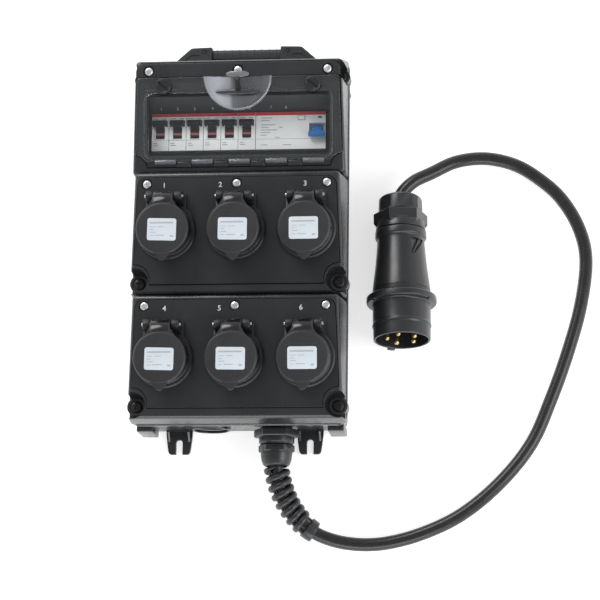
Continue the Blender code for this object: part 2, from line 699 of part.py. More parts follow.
# The lead drops from the gland to the ground, loops out to the right and comes
# back to the plug: x, height, z
LEAD_STATIONS = [
    (37.0, 6, 32.5), (37.0, -14, 32.5), (37.0, -32, 32.5), (37.8, -45, 31.6),
    (42.5, -63, 28.0), (51, -81, 22.5), (65, -98, 16), (84, -110, 11), (112, -117, 8.0),
    (146, -117, 7.4), (186, -107, 7.4), (228, -87, 7.4), (268, -54, 7.4),
    (301, -13, 7.4), (322, 34, 7.4), (340, 84, 7.4), (354, 134, 7.4),
    (360, 182, 7.4), (353, 217, 7.4), (335, 249, 7.4), (312, 271, 7.6),
    (286, 287, 8.2), (255, 294, 10.0), (224, 290, 13.5), (198, 277, 18.0),
    (178, 266, 22.0)]
STEPS_PER_STATION = 2
# coil round the lead below the gland; lengths run along the lead
SPIRAL_START, SPIRAL_PITCH, SPIRAL_TURNS = 50.0, 9.6, 6.6
SPIRAL_STEPS = 9  # per turn
SPIRAL_R, SPIRAL_TAPER = 11.2, 1.3  # coil radius, and how much it loses
STRAND_R, STRAND_HALF_W = 2.3, 2.9  # strand across and along the lead
SLEEVE_START = SPIRAL_START + SPIRAL_PITCH * SPIRAL_TURNS + 4.0
SLEEVE_END = SLEEVE_START + 10.5


def catmull_rom(points, steps):
    """A smooth curve through the points."""
    ends = [points[0] * 2 - points[1]] + points + [points[-1] * 2 - points[-2]]
    out = []
    for a, b, c, d in zip(ends, ends[1:], ends[2:], ends[3:]):
        for k in range(steps):
            t = k / steps
            out.append(0.5 * ((2 * b) + (c - a) * t + (2 * a - 5 * b + 4 * c - d) * t * t
                              + (3 * b - a - 3 * c + d) * t ** 3))
    return out + [points[-1]]


def lead_path():
    points = [Vector((x, y_at(h), z)) for x, h, z in LEAD_STATIONS]
    points += [PLUG_REAR - PLUG_DIR * 1.5, PLUG_REAR + PLUG_DIR * 14]
    return catmull_rom(points, STEPS_PER_STATION)


def path_frames(path):
    """Each point with two cross directions carried along without twist, and
    the direction of the path."""
    out = []
    side = Vector((0, 0, 1))
    for i, point in enumerate(path):
        ahead = (path[min(i + 1, len(path) - 1)] - path[max(i - 1, 0)]).normalized()
        side = (side - ahead * side.dot(ahead)).normalized()
        out.append((point, side, ahead.cross(side), ahead))
    return out


def frame_at(frames, length):
    """The frame at a length along the path, blended between its neighbours."""
    run = 0.0
    for a, b in zip(frames, frames[1:]):
        step = (b[0] - a[0]).length
        if run + step >= length:
            t = (length - run) / step
            return tuple(x.lerp(y, t) for x, y in zip(a, b))
        run += step
    return frames[-1]


def ring(centre, side, cross, r, count):
    angles = [2 * math.pi * i / count for i in range(count)]
    return [centre + (side * math.cos(t) + cross * math.sin(t)) * r for t in angles]


def power_cable():
    frames = path_frames(lead_path())
    rings = [ring(point, side, cross, CABLE_R, 8) for point, side, cross, _ in frames]
    add("power_cable", skin(rings), RUBBER, sharp=50)


def kink_spiral():
    frames = path_frames(lead_path())
    total = int(SPIRAL_TURNS * SPIRAL_STEPS)
    angles = [2 * math.pi * i / 6 for i in range(6)]
    rings = []
    for k in range(total + 1):
        length = SPIRAL_START + SPIRAL_PITCH * k / SPIRAL_STEPS
        point, side, cross, ahead = frame_at(frames, length)
        turn = 2 * math.pi * k / SPIRAL_STEPS
        out = (side * math.cos(turn) + cross * math.sin(turn)).normalized()
        ahead = ahead.normalized()
        centre = point + out * (SPIRAL_R - SPIRAL_TAPER * k / total)
        rings.append([centre + out * STRAND_R * math.cos(t) + ahead * STRAND_HALF_W * math.sin(t)
                      for t in angles])
    add("kink_spiral", skin(rings), GLAND, sharp=60)


def kink_sleeve():
    """The sleeve after the spiral's end."""
    frames = path_frames(lead_path())
    rings = []
    for length, r in ((SLEEVE_START, 8.0), (SLEEVE_START, 11.6),
                      (SLEEVE_END, 11.2), (SLEEVE_END, 8.0)):
        point, side, cross, _ = frame_at(frames, length)
        rings.append(ring(point, side.normalized(), cross.normalized(), r, 20))
    add("kink_sleeve", skin(rings, closed=True), GLAND)


# ---------------------------------------------------------------- gland
# (radius, height) profiles; the body's thread passes through the bottom wall
GLAND_BODY = [(8.0, 14), (16.0, 14), (16.0, -0.6), (21.5, -0.6), (21.5, -9.0),
              (17.0, -9.8), (17.0, -16.4), (8.0, -16.4)]
GLAND_HEXAGON = [(8.6, -16.9), (18.6, -16.9), (18.6, -24.6), (8.6, -24.6)]
GLAND_DOME = [(8.5, -20), (16.2, -20), (16.2, -27), (15.2, -33), (13.2, -38),
              (9.4, -40), (8.5, -40)]


def gland():
    def part(profile, sides, phase=0.0):
        return turned(end_profile(profile), sides, phase, "Y", (GLAND_X, 0, ENTRY_Z))

    add("gland_body", part(GLAND_BODY, 18), GLAND)
    nut = add("gland_nut", part(GLAND_HEXAGON, 6, math.radians(30)), GLAND)
    join(nut, "dome", part(GLAND_DOME, 18))


# ---------------------------------------------------------------- plug
# Local Z runs along the plug from where the lead enters to the open end.
PLUG_FRAME = (PLUG_REAR, PLUG_DIR.to_track_quat("Z", "Y").to_euler())
BORE_R = CABLE_R + GAP
EARTH_ANGLE = 245.0  # where the earth pin and the key stand round the plug
PIN_CIRCLE_R = 15.6
PIN_RADII = (3.0, 2.5, 2.5, 2.5, 2.5)  # the earth pin first


def plug_gland_nut():
    profile = [(BORE_R + 4.5, 0.0), (19.0, 0.0), (22.6, 3.0), (23.2, 18.5), (BORE_R + 0.6, 18.5)]
    ob = add("plug_gland_nut", turned(profile, 18), PLUG, PLUG_FRAME)
    for x, y in arc(0, 0, 24.0, 0, 300, 5):
        cut(ob, "flute", rod(2.6, -2, 16.0, 6, centre=(x, y, 0)))


def plug_collar():
    profile = [(BORE_R + 0.2, 19.0), (27.8, 19.0), (28.5, 20.2), (28.5, 30.6), (27.8, 31.6),
               (26.4, 38.5), (BORE_R + 0.2, 38.5)]
    add("plug_collar", turned(profile, 6, math.radians(-10)), PLUG, PLUG_FRAME)


def plug_housing():
    profile = [(BORE_R + 0.4, 39.0), (26.0, 39.0), (26.9, 40.2), (26.9, 46.8), (25.0, 48.5),
               (25.2, 54.0), (27.4, 80.0), (29.9, 98.0), (30.4, 111.5), (26.5, 111.5),
               (25.4, 98.0), (21.4, 68.0), (BORE_R + 0.4, 60.0)]
    add("plug_housing", turned(profile, 20), PLUG, PLUG_FRAME)


def plug_shroud():
    profile = [(26.2, 112.0), (36.0, 112.0), (36.8, 113.0), (36.8, 118.6), (36.0, 119.8),
               (30.4, 119.8), (30.2, 142.6), (30.7, 144.0), (30.0, 145.6),
               (29.9, 159.0), (27.4, 159.0), (27.2, 129.0), (26.2, 128.6)]
    ob = add("plug_shroud", turned(profile, 20), PLUG, PLUG_FRAME)
    # the key, drawn at 270 degrees and turned to stand beside the earth pin
    key = block(-4.0, 4.0, -33.0, -29.0, 120.6, 158.0, 0.8)
    bmesh.ops.rotate(key, verts=key.verts, cent=(0, 0, 0),
                     matrix=Matrix.Rotation(math.radians(EARTH_ANGLE - 270), 3, "Z"))
    join(ob, "key_rib", key)


def plug_contacts():
    """The pin carrier and its five pins."""
    body = [(0, 112.4), (25.8, 112.4), (25.8, 133.0), (0, 133.0)]
    carrier = add("pin_carrier", turned(body, 20), PLUG, PLUG_FRAME)
    for i, r in enumerate(PIN_RADII):
        angle = math.radians(EARTH_ANGLE + 360 / len(PIN_RADII) * i)
        centre = (PIN_CIRCLE_R * math.cos(angle), PIN_CIRCLE_R * math.sin(angle), 0)
        cut(carrier, "pin_hole", rod(r + GAP, 115.0, 139.0, 8, centre=centre))
        pin = [(0, 116.0), (r, 116.0), (r, 157.2), (r - 0.9, 158.7), (0, 158.7)]
        add("contact_pin_%d" % (i + 1), turned(pin, 8, centre=centre), BRASS, PLUG_FRAME)


# ---------------------------------------------------------------- build
rear_housing()
upper_front_hood()
lower_front_hood()
socket_panel("upper_socket_panel", UPPER_SEG)
socket_panel("lower_socket_panel", LOWER_SEG)
top_strip()
latch_staple()
clear_flap()
flap_knob("flap_knob_left", -1)
flap_knob("flap_knob_right", 1)
device_cover()
din_rail()
breakers()
breaker_toggles()
residual_device()
terminal_bar()
sockets()
handle_post("handle_post_left", -1)
handle_post("handle_post_right", 1)
handle_grip()
power_cable()
kink_spiral()
kink_sleeve()
gland()
plug_gland_nut()
plug_collar()
plug_housing()
plug_shroud()
plug_contacts()
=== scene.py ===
"""Portable power distribution box with its supply lead and plug.

The box lies on its back on the floor: +X is right, +Y runs from the lead entry
to the handle, +Z points out of the front. Sizes are in millimetres. Heights are
measured along Y from the lower end of the box, and up() turns them into y.
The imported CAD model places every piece; this file makes the fine surfaces."""
import json
import math
from bisect import bisect_right
from collections import namedtuple

import bpy
import bmesh
from mathutils import Matrix, Vector

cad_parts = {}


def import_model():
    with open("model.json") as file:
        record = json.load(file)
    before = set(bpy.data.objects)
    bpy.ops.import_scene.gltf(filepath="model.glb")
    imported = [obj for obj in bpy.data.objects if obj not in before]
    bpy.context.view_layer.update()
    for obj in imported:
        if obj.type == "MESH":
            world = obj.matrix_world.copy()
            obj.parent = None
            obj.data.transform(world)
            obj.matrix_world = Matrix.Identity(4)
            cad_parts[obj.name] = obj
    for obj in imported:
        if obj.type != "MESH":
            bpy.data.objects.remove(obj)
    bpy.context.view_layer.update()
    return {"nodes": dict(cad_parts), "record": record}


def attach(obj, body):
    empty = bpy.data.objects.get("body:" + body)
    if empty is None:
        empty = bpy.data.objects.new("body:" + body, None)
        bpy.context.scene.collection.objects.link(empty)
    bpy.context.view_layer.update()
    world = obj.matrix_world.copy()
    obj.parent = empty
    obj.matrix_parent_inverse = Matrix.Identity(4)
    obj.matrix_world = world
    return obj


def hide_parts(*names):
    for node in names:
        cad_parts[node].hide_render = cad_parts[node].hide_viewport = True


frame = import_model()

MM = 0.001
SIDES = (-1, 1)
ORIGIN = (0, 0, 0)

HALF_HEIGHT, HALF_WIDTH = 195.0, 112.5
BOX_TOP = 389.0         # height of the upper end
PARTING = 65.0          # z where rear housing and front hoods meet
WALL, GAP = 3.0, 0.3

# Sloping front faces: (half width, height, z) at the lower and at the upper edge.
FACE_DEVICE = ((112.0, 260.8, 91.0), (108.4, 378.4, 110.0))
FACES = {"upper": ((111.3, 131.6, 95.0), (106.5, 259.6, 105.0)),
         "lower": ((111.3, 2.2, 95.0), (106.5, 129.2, 105.0))}

# Corner screws, and the rows of cover screws measured along their front face.
BOSS_X = 104.5
SCREW_HEIGHTS = (17.5, 147.5, 368.5)
COVER_SCREW_X = (-94.0, 0.0, 94.0)
STRIP_SCREW_Y, PANEL_SCREW_Y = 108.2, 115.5
COVER_SCREW_ROWS = (("strip", FACE_DEVICE, STRIP_SCREW_Y),
                    ("upper", FACES["upper"], PANEL_SCREW_Y),
                    ("lower", FACES["lower"], PANEL_SCREW_Y))

# Outlets; hinge place is relative to the outlet centre.
SOCKET_X = (-73.0, 0.0, 73.0)
SOCKET_Y = {"upper": 66.5, "lower": 61.2}
BARREL_R, FLANGE_R, WELL_R, LID_R = 25.5, 31.0, 19.8, 27.4
HINGE_Y, HINGE_Z = 33.0, 21.0

# Device row: left end, breaker pitch and z of the device fronts.
ROW_X, MODULE, NOSE_Z = -95.2, 18.4, 75.0
WINDOW = (-96.0, 96.0, 18.9, 86.2)      # x0, x1, y0, y1 on the device face

# Flap hinge axis on the device face (along, out); the rest is from that axis.
FLAP_AXIS = (12.5, 3.6)
FLAP_LENGTH = 88.5
KNOB_X, KNOB_Y = 78.5, 79.5

# Entries in the lower end, the lead and the plug's axis.
GLAND_X, HOLE_X, ENTRY_Z = 37.0, -32.0, 32.5
CABLE_R = 7.0
PLUG_START = Vector((164.8, 53.8, 24.4))
PLUG_AXIS = (Vector((168.3, -104.2, 43.4)) - PLUG_START).normalized()
FIRST_PIN_ANGLE = 245.0

Fixing = namedtuple("Fixing", "x radius well_x well_height well_radius clear_radius")


def up(height):
    return height - HALF_HEIGHT


def fixing(height):
    """Sizes round the corner screws at a height; the top pair is smaller."""
    if height > 300:
        return Fixing(106.5, 8.4, 108.5, height - 0.5, 10.0, 13.0)
    return Fixing(BOSS_X, 10.2, BOSS_X + 1.5, height - 1.5, 13.6, 16.8)


def at_fixings(heights):
    """(sizes, screw centre, well centre) for the left and right screw at each height."""
    out = []
    for height in heights:
        fix = fixing(height)
        for side in SIDES:
            out.append((fix, (side * fix.x, up(height), 0),
                        (side * fix.well_x, up(fix.well_height), 0)))
    return out


# ================================================================ materials
class Shader:
    """A material's node tree, with short calls for the nodes used here."""

    def __init__(self, name):
        self.material = bpy.data.materials.new("m_" + name)
        self.material.use_nodes = True
        self.tree = self.material.node_tree
        self.tree.nodes.clear()
        self.output = self.node("OutputMaterial")
        coords = self.node("TexCoord")
        self.object, self.uv = coords.outputs["Object"], coords.outputs["UV"]

    def node(self, kind, **values):
        """Adds a node; each value sets the input or the property of that name."""
        made = self.tree.nodes.new("ShaderNode" + kind)
        for key, value in values.items():
            if key in made.inputs.keys():
                made.inputs[key].default_value = value
            else:
                setattr(made, key, value)
        return made

    def link(self, source, target):
        self.tree.links.new(source, target)

    def principled(self):
        made = self.node("BsdfPrincipled")
        self.link(made.outputs[0], self.output.inputs[0])
        return made

    def math(self, operation, first, second, clamp=False):
        made = self.node("Math", operation=operation, use_clamp=clamp)
        for socket, value in zip(made.inputs, (first, second)):
            if isinstance(value, (int, float)):
                socket.default_value = value
            else:
                self.link(value, socket)
        return made.outputs[0]

    def sway(self, value, amount):
        """Centres a 0-1 value on zero and scales it."""
        return self.math("MULTIPLY", self.math("SUBTRACT", value, 0.5), amount)

    def mix(self, factor, first, second):
        made = self.node("Mix", data_type="RGBA")
        self.link(factor, made.inputs[0])
        for socket, value in ((made.inputs[6], first), (made.inputs[7], second)):
            if isinstance(value, tuple):
                socket.default_value = (*value, 1.0)
            else:
                self.link(value, socket)
        return made.outputs[2]

    def mix_shader(self, factor, first, second):
        made = self.node("MixShader")
        for socket, value in zip(made.inputs, (factor, first, second)):
            self.link(value, socket)
        return made.outputs[0]

    def ramp(self, factor, *stops):
        """Grey ramp; stops are (position, value)."""
        made = self.node("ValToRGB")
        elements = made.color_ramp.elements
        while len(elements) < len(stops):
            elements.new(0.5)
        for element, (position, value) in zip(elements, stops):
            element.position = position
            element.color = (value, value, value, 1)
        self.link(factor, made.inputs[0])
        return made.outputs[0]

    def mapped(self, vector, scale, rotation=(0, 0, 0)):
        made = self.node("Mapping", Scale=scale, Rotation=rotation)
        self.link(vector, made.inputs["Vector"])
        return made.outputs[0]

    def noise(self, vector, scale=1.0, detail=2.0, roughness=0.5):
        made = self.node("TexNoise", Scale=scale, Detail=detail, Roughness=roughness)
        self.link(vector, made.inputs["Vector"])
        return made.outputs["Fac"]

    def bevel(self, radius):
        return self.node("Bevel", Radius=radius, samples=4).outputs[0]

    def bump(self, height, strength, distance, normal=None):
        made = self.node("Bump", Strength=strength, Distance=distance)
        self.link(height, made.inputs["Height"])
        if normal:
            self.link(normal, made.inputs["Normal"])
        return made.outputs[0]

    def edges(self, bevelled, geometry, gain):
        """Edge mask: how far the bevelled normal turns from the true one."""
        dot = self.node("VectorMath", operation="DOT_PRODUCT")
        self.link(bevelled, dot.inputs[0])
        self.link(geometry.outputs["Normal"], dot.inputs[1])
        turn = self.math("SUBTRACT", 1.0, dot.outputs["Value"])
        return self.math("MULTIPLY", turn, gain, True)


def shade(colour, factor, lift=0.0):
    return tuple(min(1.0, channel * factor + lift) for channel in colour)


def moulded(name, colour, rough, grain, grain_scale, spec=0.5, wear=0.35, mottle=0.10):
    """Moulded plastic: fine grain, broken-up sheen, a few faint rubs and pale edges."""
    shader = Shader(name)
    principled = shader.principled()
    where = shader.object
    fine = shader.noise(where, scale=grain_scale, detail=3.0, roughness=0.6)
    broad = shader.noise(where, scale=22.0, detail=5.0, roughness=0.62)
    mid = shader.noise(where, scale=160.0, detail=4.0, roughness=0.6)
    # rubs are stretched noise
    stretched = shader.mapped(where, scale=(38.0, 520.0, 520.0), rotation=(0.3, 0.5, 0.6))
    rubs = shader.ramp(shader.noise(stretched, detail=4.0, roughness=0.7),
                       (0.62, 0.0), (0.74, 1.0))
    bevelled = shader.bevel(radius=0.0006)
    worn = shader.edges(bevelled, shader.node("NewGeometry"), gain=5.0)
    worn = shader.math("MULTIPLY", worn, shader.ramp(mid, (0.42, 0.15), (0.62, 1.0)))
    worn = shader.math("MULTIPLY", worn, wear)

    dark = shade(colour, 1.0 - mottle)
    pale = shade(colour, 1.0 + mottle * 1.6, lift=0.002)
    rubbed = shade(colour, 2.3, lift=0.02)
    base = shader.mix(shader.ramp(broad, (0.3, 0.0), (0.7, 1.0)), dark, pale)
    base = shader.mix(worn, base, rubbed)
    base = shader.mix(shader.math("MULTIPLY", rubs, 0.05), base, rubbed)
    shader.link(base, principled.inputs["Base Color"])

    sheen = shader.math("ADD", shader.sway(broad, amount=0.22), rough)
    sheen = shader.math("ADD", sheen, shader.sway(mid, amount=0.12))
    sheen = shader.math("SUBTRACT", sheen, shader.math("MULTIPLY", rubs, 0.04), True)
    shader.link(sheen, principled.inputs["Roughness"])
    principled.inputs["Specular IOR Level"].default_value = spec
    principled.inputs["Coat Weight"].default_value = 0.0
    principled.inputs["Coat Roughness"].default_value = 0.25

    height = shader.math("ADD", fine, shader.math("MULTIPLY", mid, 0.5))
    relief = shader.bump(height, strength=0.35, distance=0.001 * grain * 10, normal=bevelled)
    shader.link(relief, principled.inputs["Normal"])
    return shader.material


def metal(name, colour, rough, brushed):
    """Metal with noise of the brushed scale in its sheen and relief."""
    shader = Shader(name)
    principled = shader.principled()
    lines = shader.noise(shader.mapped(shader.object, scale=brushed), detail=4.0, roughness=0.65)
    blotch = shader.noise(shader.object, scale=140.0, detail=4.0)
    base = shader.mix(shader.ramp(blotch, (0.35, 0.0), (0.62, 1.0)), shade(colour, 0.72), colour)
    shader.link(base, principled.inputs["Base Color"])
    principled.inputs["Metallic"].default_value = 1.0
    sheen = shader.math("ADD", shader.sway(lines, amount=0.3), rough, True)
    shader.link(sheen, principled.inputs["Roughness"])
    bevelled = shader.bevel(radius=0.0002)
    relief = shader.bump(lines, strength=0.12, distance=0.0001, normal=bevelled)
    shader.link(relief, principled.inputs["Normal"])
    return shader.material


def clear(name, frost=0.0, shine=0.0, rough=0.07, tint=(0.985, 0.99, 0.99),
          body=(0.55, 0.58, 0.60), across=None):
    """Thin clear plastic that reflects more at a glance. frost makes it milkier and body
    is its colour. across holds (position, milkiness) from left to right over 70 mm, a painted
    reflection."""
    shader = Shader(name)
    cloud = shader.noise(shader.object, scale=14.0, detail=3.0)
    bevelled = shader.bevel(radius=0.0007)
    surface = shader.bump(cloud, strength=0.05, distance=0.0006, normal=bevelled)
    glossy = shader.node("BsdfGlossy", Roughness=rough, Color=(0.95, 0.97, 0.98, 1))
    shader.link(surface, glossy.inputs["Normal"])
    through = shader.node("BsdfTransparent", Color=(*tint, 1))
    milky = shader.node("BsdfDiffuse", Color=(*body, 1))
    stretched = shader.mapped(shader.object, scale=(30, 700, 700), rotation=(0, 0, 0.5))
    haze_and_painted_light = shader.ramp(shader.noise(stretched, detail=5.0, roughness=0.7),
                       (0.5, 0.004), (0.75, 0.022))
    fresnel = shader.node("Fresnel", IOR=1.5)
    shader.link(surface, fresnel.inputs["Normal"])
    geometry = shader.node("NewGeometry")
    facing = shader.math("SUBTRACT", 1.0, geometry.outputs["Backfacing"])
    mirror = shader.math("MULTIPLY", fresnel.outputs[0], facing)
    rim = shader.edges(bevelled, geometry, gain=2.2)
    haze_and_painted_light = shader.math("ADD", haze_and_painted_light, shader.math("MULTIPLY", rim, 0.45), True)
    haze_and_painted_light = shader.math("ADD", haze_and_painted_light, frost, True)
    # painted reflection: milkier towards one side, where the part would reflect the bright
    # surround
    if across:
        split = shader.node("SeparateXYZ")
        shader.link(shader.object, split.inputs[0])
        place = shader.math("MULTIPLY", split.outputs[0], 1.0 / 0.07)
        place = shader.math("ADD", place, 0.5, True)
        place = shader.math("ADD", place, shader.sway(cloud, amount=0.25), True)
        haze_and_painted_light = shader.math("ADD", haze_and_painted_light, shader.ramp(place, *across), True)
    mirror = shader.math("ADD", mirror, shader.math("MULTIPLY", facing, shine), True)
    inside = shader.mix_shader(haze_and_painted_light, through.outputs[0], milky.outputs[0])
    whole = shader.mix_shader(mirror, inside, glossy.outputs[0])
    shader.link(whole, shader.output.inputs[0])
    return shader.material


def rubber(name, colour):
    """Lead sheath: faint lengthwise drag lines, scuffs and a dull sheen."""
    shader = Shader(name)
    principled = shader.principled()
    lines = shader.noise(shader.mapped(shader.uv, scale=(26.0, 60.0, 1.0)),
                         detail=4.0, roughness=0.65)
    mid = shader.noise(shader.object, scale=110.0, detail=5.0, roughness=0.65)
    fine = shader.noise(shader.object, scale=1300.0, detail=2.0)
    scuffs = shader.math("MULTIPLY", shader.ramp(lines, (0.42, 0.0), (0.7, 1.0)),
                         shader.ramp(mid, (0.4, 0.1), (0.65, 1.0)))
    shader.link(shader.mix(scuffs, colour, shade(colour, 1.9, lift=0.004)),
                principled.inputs["Base Color"])
    sheen = shader.math("ADD", shader.sway(mid, amount=0.22), 0.27, True)
    shader.link(sheen, principled.inputs["Roughness"])
    height = shader.math("ADD", shader.math("MULTIPLY", lines, 0.8),
                         shader.math("MULTIPLY", fine, 0.25))
    shader.link(shader.bump(height, strength=0.22, distance=0.0004),
                principled.inputs["Normal"])
    return shader.material


# Finishes by material slot.
FINISH = {
    "housing_plastic": moulded("housing", (0.0155, 0.0165, 0.0185), rough=0.29, grain=0.006,
                               grain_scale=1500, spec=0.7),
    "hood_plastic": moulded("hood", (0.0160, 0.0172, 0.0195), rough=0.29, grain=0.0055,
                            grain_scale=1600, spec=0.7),
    "panel_plastic": moulded("panel", (0.0165, 0.0178, 0.0200), rough=0.38, grain=0.010,
                             grain_scale=1500),
    "clear_plastic": clear("clear"),
    "knob_plastic": moulded("knob", (0.015, 0.0155, 0.017), rough=0.34, grain=0.010,
                            grain_scale=1800),
    "cover_plastic": moulded("cover", (0.030, 0.031, 0.034), rough=0.5, grain=0.02,
                             grain_scale=1500),
    "zinc_steel": metal("zinc", (0.62, 0.63, 0.64), rough=0.32, brushed=(200, 2400, 2400)),
    "device_plastic": moulded("device", (0.93, 0.94, 0.93), rough=0.42, grain=0.008,
                              grain_scale=1800, wear=0.1, mottle=0.03),
    "toggle_plastic": moulded("toggle", (0.017, 0.017, 0.019), rough=0.36, grain=0.008,
                              grain_scale=1800),
    "blue_plastic": moulded("blue", (0.010, 0.20, 0.60), rough=0.36, grain=0.008,
                            grain_scale=1800, wear=0.15),
    "white_plastic": moulded("white", (0.90, 0.90, 0.88), rough=0.4, grain=0.006,
                             grain_scale=1800, wear=0.1, mottle=0.03),
    "contact_brass": metal("brass", (0.66, 0.50, 0.24), rough=0.28, brushed=(1600, 1600, 220)),
    "handle_plastic": moulded("handle", (0.0165, 0.017, 0.0185), rough=0.40, grain=0.020,
                              grain_scale=1500),
    "gland_plastic": moulded("gland", (0.013, 0.0138, 0.0155), rough=0.34, grain=0.007,
                             grain_scale=1600, spec=0.6),
    "cable_rubber": rubber("cable", (0.0125, 0.0125, 0.0135)),
    "plug_plastic": moulded("plug", (0.014, 0.0148, 0.0165), rough=0.32, grain=0.007,
                            grain_scale=1500, spec=0.65),
    "socket_plastic": moulded("socket", (0.012, 0.0125, 0.014), rough=0.42, grain=0.010,
                              grain_scale=1600),
    "lid_plastic": moulded("lid", (0.019, 0.0195, 0.021), rough=0.44, grain=0.012,
                           grain_scale=1600),
}
# Finishes only the drawn details use, kept under their own names.
DETAIL_FINISHES = (
    moulded("ink", (0.05, 0.05, 0.055), rough=0.5, grain=0.0, grain_scale=1500, wear=0.0),
    moulded("pale_ink", (0.78, 0.78, 0.78), rough=0.5, grain=0.0, grain_scale=1500,
            wear=0.0, mottle=0.05),
    moulded("mark", (0.50, 0.11, 0.12), rough=0.45, grain=0.004, grain_scale=1500, wear=0.0),
    moulded("red", (0.55, 0.03, 0.05), rough=0.4, grain=0.004, grain_scale=1500, wear=0.0),
    moulded("label", (0.60, 0.65, 0.70), rough=0.45, grain=0.004, grain_scale=900,
            wear=0.0, mottle=0.035),
    moulded("black_screw", (0.012, 0.012, 0.013), rough=0.34, grain=0.008, grain_scale=1500,
            wear=0.8),
    metal("screw", (0.97, 0.96, 0.95), rough=0.36, brushed=(1200, 1200, 1200)),
    moulded("green", (0.02, 0.22, 0.08), rough=0.4, grain=0.0, grain_scale=1500, wear=0.0),
    moulded("grey_print", (0.42, 0.43, 0.45), rough=0.5, grain=0.0, grain_scale=1500, wear=0.0),
    clear("frost", frost=0.30, shine=0.03, rough=0.20, tint=(0.80, 0.82, 0.83),
          body=(0.34, 0.36, 0.38)),
    clear("rim", frost=0.16, shine=0.05, rough=0.14, tint=(0.90, 0.91, 0.92),
          body=(0.55, 0.57, 0.60)),
    # painted highlight: the clear lip is made milky pale to show the highlight on it
    clear("lip", frost=0.42, shine=0.04, rough=0.22, tint=(0.6, 0.6, 0.6),
          body=(0.30, 0.31, 0.32)),
    # painted shade: the clear ledge is made near black to stand for the shade line along it
    clear("ledge", frost=0.55, shine=0.03, rough=0.20, tint=(0.35, 0.36, 0.37),
          body=(0.05, 0.052, 0.056)),
    # painted reflection: the grip is milkier on its left, standing for the bright surround it
    # reflects there
    clear("grip", frost=0.02, shine=0.04, rough=0.12, tint=(0.80, 0.81, 0.83),
          body=(0.62, 0.64, 0.70),
          across=((0.0, 0.42), (0.2, 0.60), (0.36, 0.50), (0.43, 0.14), (0.6, 0.06),
                  (0.85, 0.05), (1.0, 0.12))),
    clear("edge", frost=0.45, shine=0.03, rough=0.15, tint=(0.45, 0.48, 0.48),
          body=(0.10, 0.105, 0.11)),
    # painted shade: near-black finish for the outlines that stand for shade in grooves and gaps
    moulded("gap", (0.004, 0.004, 0.004), rough=0.8, grain=0.0, grain_scale=1500,
            spec=0.1, wear=0.0),
    moulded("gloss_black", (0.010, 0.010, 0.011), rough=0.16, grain=0.003, grain_scale=1500,
            wear=0.5),
)
FINISH.update((material.name[2:], material) for material in DETAIL_FINISHES)


# ================================================================ objects
def shade_by_angle(mesh, angle=35.0):
    mesh.shade_smooth()
    mesh.set_sharp_from_angle(angle=math.radians(angle))


def mesh_object(name, bm, finish, loc=ORIGIN, rot=ORIGIN, angle=35.0, merge=True):
    """Object from a bmesh in millimetres."""
    if merge:
        bmesh.ops.remove_doubles(bm, verts=bm.verts, dist=0.001)
    bmesh.ops.recalc_face_normals(bm, faces=bm.faces)
    bmesh.ops.scale(bm, vec=(MM, MM, MM), verts=bm.verts)
    mesh = bpy.data.meshes.new(name)
    bm.to_mesh(mesh)
    bm.free()
    shade_by_angle(mesh, angle)
    mesh.materials.append(FINISH[finish])
    ob = bpy.data.objects.new(name, mesh)
    bpy.context.scene.collection.objects.link(ob)
    ob.location = Vector(loc) * MM
    ob.rotation_euler = rot
    return ob


def register(ob, body, replaces=None):
    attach(ob, body)
    if replaces:
        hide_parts(replaces)


def part(name, bm, finish, body, loc=ORIGIN, rot=ORIGIN, angle=35.0, slot=None,
         merge=True, replaces=None):
    """Finished object that rides a body. slot is not used."""
    ob = mesh_object(name, bm, finish, loc, rot, angle, merge)
    register(ob, body, replaces)


def cutter(bm, loc=ORIGIN, rot=ORIGIN):
    return mesh_object("cutter", bm, "ink", loc, rot)


def detach(ob):
    """Removes an object and keeps its mesh."""
    mesh = ob.data
    bpy.data.objects.remove(ob, do_unlink=True)
    return mesh


def boolean(ob, tools, operation):
    """Cuts or joins with the EXACT solver, bakes the result and removes the tools."""
    for attempt in range(4):
        # tool faces that fall exactly on the other's can leave nothing: nudge and try again
        for tool in tools:
            tool.location += Vector((3e-6, 2e-6, 1e-6)) * attempt
        bpy.context.view_layer.update()
        for tool in tools:
            modifier = ob.modifiers.new("b", "BOOLEAN")
            modifier.operation, modifier.solver, modifier.object = operation, "EXACT", tool
        depsgraph = bpy.context.evaluated_depsgraph_get()
        mesh = bpy.data.meshes.new_from_object(ob.evaluated_get(depsgraph))
        ob.modifiers.clear()
        if len(mesh.polygons) > 8:
            break
    bm = bmesh.new()
    bm.from_mesh(mesh)
    bmesh.ops.remove_doubles(bm, verts=bm.verts, dist=0.000004)
    bm.to_mesh(mesh)
    bm.free()
    materials = list(ob.data.materials)
    ob.data = mesh
    mesh.materials.clear()
    for material in materials:
        mesh.materials.append(material)
    mesh.polygons.foreach_set("material_index", [0] * len(mesh.polygons))
    shade_by_angle(mesh)
    for tool in tools:
        bpy.data.objects.remove(tool, do_unlink=True)
    return ob


def cut(ob, shapes, *pose):
    return boolean(ob, [cutter(shape, *pose) for shape in shapes], "DIFFERENCE")


def join(ob, shapes, *pose):
    return boolean(ob, [cutter(shape, *pose) for shape in shapes], "UNION")


def place(name, mesh, finish, body, loc, tilt, spin, slot=None, replaces=None):
    """Copy of a shared mesh, spun about its axis and tilted with a front face."""
    mesh = mesh.copy()
    mesh.materials.clear()
    mesh.materials.append(FINISH[finish])
    ob = bpy.data.objects.new(name, mesh)
    bpy.context.scene.collection.objects.link(ob)
    ob.matrix_world = (Matrix.Translation(Vector(loc) * MM) @ Matrix.Rotation(tilt, 4, "X")
                       @ Matrix.Rotation(spin, 4, "Z"))
    register(ob, body, replaces)


